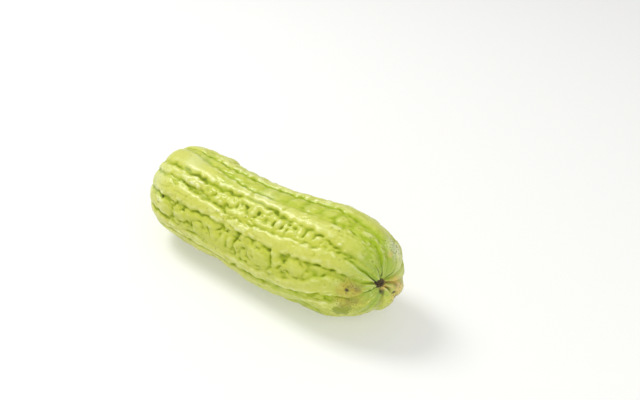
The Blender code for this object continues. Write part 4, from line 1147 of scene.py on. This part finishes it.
class SkinPatterns:
    """What the skin's colour follows: its relief, patterns of noise and the way from the stem scar."""

    def __init__(self, tree, spot, pole):
        self.tree = tree
        self.spot = spot
        hollow, self.rib, self.star = (field(tree, "ShaderNodeAttribute", attribute_name=name, output="Fac")
                                       for name in ("hollow", "rib", "star"))
        self.mottle = noise(tree, spot, scale=55, detail=4.0)
        self.fine = noise(tree, spot, scale=420)
        self.grain = noise(tree, spot, scale=1100, detail=2.0)
        self.streak = noise(tree, spot, scale=60, stretch=(0.6, 6, 6))
        self.patch = noise(tree, spot, scale=24, detail=2.0)
        self.level = hollow + (self.mottle - 0.5) * MOTTLE_LEVEL + (self.fine - 0.5) * FINE_LEVEL
        self.offset = field(tree, "ShaderNodeVectorMath", {0: spot, 1: tuple(pole)}, operation="SUBTRACT")
        self.from_stem = distance_to(tree, spot, pole)
        self.rays = self.stem_rays()

    def stem_rays(self):
        """Noise drawn out into rays that run from the stem scar."""
        _, off_y, off_z = parts_of(self.tree, self.offset)
        wide = (off_y * off_y + off_z * off_z).math("SQRT").math("MAXIMUM", 0.5 * MM)
        outward, sideways = RAY_WAVES
        around = vector_of(self.tree, self.from_stem * outward, off_y / wide * sideways,
                           off_z / wide * sideways)
        return field(self.tree, "ShaderNodeTexNoise",
                     {"Vector": around, "Scale": 1.0, "Detail": 3.0, "Roughness": 0.6})


def lay_wax(coats, at):
    """Painted shade in the creases over the troughs' darker green, pale wax with painted highlight on crests,
    fresher green in patches.
    """
    coats.lay(at.level.fade(*CREASE_LEVEL), "trough")
    coats.lay(at.level.fade(*TROUGH_LEVEL), coats.mix(at.rib.fade(0.4, 1.0), "lobe", "skin"))
    coats.lay(at.patch.fade(0.5, 0.72) * FRESH_SHARE, "fresh")
    # Crest and bloom: pale colour on the highest relief, partly the wax's own paler tone and partly painted
    # highlight.
    on_rib = at.rib.fade(0.5, 0.85) * 0.55 + 0.4
    streaked = (at.streak * 0.6 + 0.55).limit(0.0, 1.0)
    coats.lay(at.level.fade(*CREST_LEVEL) * streaked * on_rib, "crest")
    waxy = at.level.fade(*BLOOM_AND_HIGHLIGHT_LEVEL) * (at.streak.fade(0.35, 0.65) * 0.7 + 0.3) * on_rib
    coats.lay(waxy * BLOOM_AND_HIGHLIGHT_SHARE, "bloom")
    coats.lay(at.fine.fade(0.42, 0.30) * FINE_SHARE, "trough")
    coats.lay(at.grain.fade(0.55, 0.75) * GRAIN_SHARE, "bloom")


def lay_stem_end(coats, at):
    """Fresh green round the stem scar, and darker green and brown in the grooves that run from it."""
    green = within(frayed(at.from_stem, GREEN_FRAY, at.rays), GREEN_REACH) * (at.rib.rest() * 0.3 + 0.7)
    coats.lay(green * at.rays.fade(0.24, 0.58), "stem_green")
    coats.lay(at.star.fade(0.4, 1.0) * within(at.from_stem, GROOVE_REACH) * GROOVE_SHARE, "groove")
    brown = at.star.fade(0.1, 0.7) * within(frayed(at.from_stem, BROWN_FRAY, at.rays), BROWN_REACH)
    coats.lay(brown * BROWN_SHARE, "scar_dark")


def lay_marks(coats, at, mesh):
    """Rubbed, healed and bruised patches, specks, small wounds and greener patches, each at its place on the
    skin; the greener patches along the top are painted shade.
    """
    for place, angle, size, softness, kind, amount in MARKS:
        away = distance_to(at.tree, at.spot, spot_on_skin(mesh, place, angle))
        away = frayed(frayed(away, size * MARK_FRAY, at.fine), size, at.mottle)
        share = away.fade(size * MM * (1 + softness), size * MM * (1 - softness)) * amount
        if kind in ("tan", "buff"):
            share = share * (at.streak.fade(0.36, 0.6) * 0.75 + 0.25)
        # Fresh green marks, stronger in the hollows; those along the top are painted shade.
        if kind == "fresh":
            share = share * (at.level.fade(*FRESH_GREEN_AND_SHADE_LEVEL) * 0.8 + 0.2)
        if kind == "speckle":
            dots = cells(at.tree, at.spot, scale=700.0)
            share = share * dots.fade(0.5, 0.25) * at.grain.fade(0.38, 0.55)
        coats.lay(share, "tan_dark" if kind == "speckle" else kind)


def lay_end_scars(coats, at, mesh):
    """Dry brown where the stem and the flower came off. Returns how much of the skin is stem scar."""
    turned = field(at.tree, "ShaderNodeVectorRotate", {"Vector": at.offset, "Angle": -SCAR_TILT},
                   rotation_type="X_AXIS")
    squashed = field(at.tree, "ShaderNodeVectorMath", {0: turned, 1: SCAR_SQUASH}, operation="MULTIPLY")
    from_scar = field(at.tree, "ShaderNodeVectorMath", {0: squashed}, output="Value", operation="LENGTH")
    scar = within(frayed(frayed(from_scar, SCAR_FRAY, at.rays), FINE_FRAY, at.fine), SCAR_REACH)
    dry = coats.mix(noise(at.tree, at.spot, scale=900).fade(0.35, 0.65), "scar_dark", "scar")
    coats.lay(scar, dry)
    from_blossom = frayed(distance_to(at.tree, at.spot, pole_of(mesh, -1)), SCAR_FRAY, at.fine)
    coats.lay(within(from_blossom, BLOSSOM_STAIN) * STAIN_SHARE, "tan")
    coats.lay(within(from_blossom, BLOSSOM_SCAR) * BROWN_SHARE, dry)
    return scar


def paint_skin(tree, shader, spot, mesh, colours):
    """Waxy green skin with its marks, scars and pores, painted shade in its creases and along its top and
    painted highlight on its rims, rougher and without wax in its hollows.
    """
    at = SkinPatterns(tree, spot, pole_of(mesh, 1))
    # The first coat, crease, is painted shade and stays where the relief lies deepest.
    coats = Coats(tree, colours, "crease")
    lay_wax(coats, at)
    lay_stem_end(coats, at)
    lay_marks(coats, at, mesh)
    scar = lay_end_scars(coats, at, mesh)
    chance = noise(tree, spot, scale=140, detail=2.0)
    pore = cells(tree, spot, scale=260.0).fade(0.24, 0.10) * chance.fade(0.46, 0.62)
    coats.lay(pore * PORE_SHARE, "pore")

    deep = at.level.fade(*DEEP_LEVEL)
    rough = (noise(tree, spot, scale=300) - 0.5) * 0.22 + 0.42 + deep * 0.35 + scar * 0.3
    bumps = noise(tree, spot, scale=900, detail=4.0, roughness=0.6) * 0.6
    bumps = bumps + noise(tree, spot, scale=2600, detail=2.0) * 0.25 - pore * 0.6
    bumps = bumps + noise(tree, spot, scale=380, roughness=0.5) * 0.8
    bump = new_node(tree, "ShaderNodeBump", {"Height": bumps, "Strength": 0.4, "Distance": 0.5 * MM})
    set_shader(tree, shader, Base_Color=coats.colour, Roughness=rough.limit(0.2, 0.95),
               Coat_Weight=deep.rest() * scar.rest() * WAX_COAT, Coat_Roughness=0.22, IOR=1.45,
               Subsurface_Weight=0.22, Subsurface_Radius=(0.9, 1.0, 0.25), Subsurface_Scale=2.2 * MM,
               Specular_IOR_Level=0.3, Normal=bump.outputs[0])


def paint_scar(tree, shader, spot, colours):
    """Dry brown fibre, dark in its hollows."""
    fibre = noise(tree, spot, scale=1500, detail=4.0, roughness=0.65)
    stain = noise(tree, spot, scale=420)
    coats = Coats(tree, colours, "scar_dark")
    coats.lay(fibre.fade(0.35, 0.62), "scar")
    coats.lay(stain.fade(0.55, 0.72) * 0.5, "tan")
    bump = new_node(tree, "ShaderNodeBump", {"Height": fibre, "Strength": 0.6, "Distance": 0.4 * MM})
    set_shader(tree, shader, Base_Color=coats.colour, Roughness=fibre * 0.3 + 0.6, Specular_IOR_Level=0.2,
               Normal=bump.outputs[0])


def fit_inside(mesh, low, high):
    """Shrink the mesh about its origin just enough to stay inside a box that is centred on it sideways."""
    co = np.empty(len(mesh.vertices) * 3, np.float32)
    mesh.vertices.foreach_get("co", co)
    co = co.reshape(-1, 3)
    reach = np.maximum(co.max(axis=0), np.array([1, 1, 0]) * -co.min(axis=0))
    room = np.minimum(np.array(high), np.where([True, True, False], -np.array(low), high))
    co *= np.minimum(room / reach, 1.0)
    mesh.vertices.foreach_set("co", co.ravel())
    mesh.update()


class MELON_OT_skin(bpy.types.Operator):
    """Grow the ribbed and warted skin over the solid fruit"""

    bl_idname = "melon.skin"
    bl_label = "Grow Skin"

    def execute(self, context):
        lobes = LOBES + tuple(drawn_lobes())
        material, *parts = principled("melon_skin")
        helpers = {"Outline": outline_curve(), "Ribs": rib_cloud(),
                   "Lobes": table_cloud("lobe_points", lobes, LOBE_UNITS),
                   "Pits": table_cloud("pit_points", PITS, LOBE_UNITS),
                   "Star": table_cloud("groove_points", STAR, GROOVE_UNITS)}
        inputs = settings_of(context.scene.melon_form)
        inputs.update((label, ("Object", cloud)) for label, cloud in helpers.items())
        inputs.update({"Lobe Count": ("Int", len(lobes)), "Pit Count": ("Int", len(PITS)),
                       "Star Count": ("Int", len(STAR)), "Material": ("Material", material)})
        skin = grow("melon_skin", ridged_skin, inputs)
        for cloud in helpers.values():
            bpy.data.objects.remove(cloud, do_unlink=True)
        fit_inside(skin.data, SOLID_LOW, SOLID_HIGH)
        paint_skin(*parts, skin.data, context.scene.melon_colours)
        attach(skin, BODY)
        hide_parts(NODE)
        return {"FINISHED"}


class MELON_OT_scar(bpy.types.Operator):
    """Set the dry stem scar in the dimple of the skin's stem end"""

    bl_idname = "melon.scar"
    bl_label = "Grow Stem Scar"

    def execute(self, context):
        settings = context.scene.melon_scar
        skin = bpy.data.objects.get("melon_skin")
        if skin is None:
            raise RuntimeError("Grow the skin first")
        pole = pole_of(skin.data, 1)
        outward = Vector((0.0, 0.0, 0.0))
        for vertex in skin.data.vertices:
            if (vertex.co - pole).length < settings.radius:
                outward += vertex.normal
        facing = outward.normalized()
        long_side = Vector((0.0, math.cos(SCAR_TILT), math.sin(SCAR_TILT)))
        long_side = (long_side - facing * long_side.dot(facing)).normalized()
        turn = Matrix((long_side, facing.cross(long_side), facing)).transposed().to_euler()
        material, *parts = principled("stem_scar")
        inputs = settings_of(settings)
        inputs.update({"Place": ("Vector", tuple(pole)), "Turn": ("Rotation", tuple(turn)),
                       "Material": ("Material", material)})
        scar = grow("stem_scar", dry_scar, inputs)
        paint_scar(*parts, context.scene.melon_colours)
        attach(scar, BODY)
        return {"FINISHED"}


def look_from(made, place, towards):
    """Put a camera or a light at a place and turn its face in a direction."""
    made.location = place
    made.rotation_mode = "QUATERNION"
    made.rotation_quaternion = towards.to_track_quat("-Z", "Y")


def set_camera(scene, studio, target, back):
    """The scene's camera, looking at the target from the direction back."""
    camera = bpy.data.cameras.new("camera")
    camera.lens = studio.focal_length
    camera.sensor_width = SENSOR_WIDTH
    camera.shift_x, camera.shift_y = FRAME_SHIFT
    camera.clip_start, camera.clip_end = CLIP_RANGE
    scene.camera = link_new("camera", camera)
    look_from(scene.camera, target + back * studio.distance, -back)


def set_floor(studio):
    """A wide pale floor that glows a little, so that it stays even under the soft light."""
    bpy.ops.mesh.primitive_plane_add(size=FLOOR_SIZE, location=(0, 0, 0))
    floor = bpy.context.object
    floor.name = "floor"
    material, tree, shader, _ = principled("pale_floor")
    set_shader(tree, shader, Base_Color=studio.floor_colour, Roughness=0.6, Specular_IOR_Level=0.1,
               Emission_Color=studio.glow_colour, Emission_Strength=studio.floor_glow)
    floor.data.materials.append(material)


def set_lights(studio, target, towards_camera, right):
    """Square soft lights round the target, each facing it."""
    for name, nearer, to_right, up, size in LIGHTS:
        light = bpy.data.lights.new(name + "_light", "AREA")
        light.size = size
        light.energy = getattr(studio, name + "_power")
        place = target + towards_camera * nearer + right * to_right + Vector((0, 0, up))
        look_from(link_new(name + "_light", light), place, target - place)


def set_surroundings(scene, studio):
    """White surroundings, brighter at the horizon than overhead."""
    world = bpy.data.worlds.new("white_surroundings")
    world.use_nodes = True
    tree = world.node_tree
    direction = new_node(tree, "ShaderNodeTexCoord").outputs["Generated"]
    _, _, height = parts_of(tree, direction)
    strength = height.fade(*HORIZON_FADE).rest() * (studio.horizon - studio.backdrop) + studio.backdrop
    set_shader(tree, tree.nodes["Background"], Color=(1, 1, 1, 1), Strength=strength)
    scene.world = world


class MELON_OT_studio(bpy.types.Operator):
    """Set the floor, the soft light and the camera"""

    bl_idname = "melon.studio"
    bl_label = "Set Studio"

    def execute(self, context):
        scene = context.scene
        studio = scene.melon_studio
        target = Vector((*TARGET, scene.melon_form.axis_height))
        turn, rise = studio.azimuth, studio.elevation
        back = Vector((math.sin(turn) * math.cos(rise), -math.cos(turn) * math.cos(rise), math.sin(rise)))
        right = Vector((math.cos(turn), math.sin(turn), 0.0))
        set_camera(scene, studio, target, back)
        set_floor(studio)
        set_lights(studio, target, Vector((back.x, back.y, 0.0)).normalized(), right)
        set_surroundings(scene, studio)
        scene.view_settings.view_transform = "Standard"
        return {"FINISHED"}


class MELON_PT_panel(bpy.types.Panel):
    """Buttons and settings for the fruit and the studio"""

    bl_idname = "MELON_PT_panel"
    bl_label = "Bitter Melon"
    bl_space_type = "VIEW_3D"
    bl_region_type = "UI"
    bl_category = "Melon"

    def draw(self, context):
        for name in GROUPS:
            group = getattr(context.scene, name)
            for setting in group.bl_rna.properties.keys():
                if setting not in BUILT_IN:
                    self.layout.prop(group, setting)
        for operator in OPERATORS:
            self.layout.operator(operator.bl_idname)


GROUPS = {"melon_form": MelonForm, "melon_scar": ScarForm, "melon_colours": MelonColours,
          "melon_studio": StudioSettings}
OPERATORS = (MELON_OT_skin, MELON_OT_scar, MELON_OT_studio)
CLASSES = (*GROUPS.values(), *OPERATORS, MELON_PT_panel)


def register():
    """Register the classes and hang their settings on the scene."""
    for cls in CLASSES:
        bpy.utils.register_class(cls)
    for name, group in GROUPS.items():
        setattr(bpy.types.Scene, name, PointerProperty(type=group))


def unregister():
    """Take the settings and the classes away again."""
    for name in GROUPS:
        delattr(bpy.types.Scene, name)
    for cls in reversed(CLASSES):
        bpy.utils.unregister_class(cls)


def main():
    """Build the fruit and the studio."""
    register()
    bpy.ops.melon.skin()
    bpy.ops.melon.scar()
    bpy.ops.melon.studio()


if __name__ == "__main__":
    main()
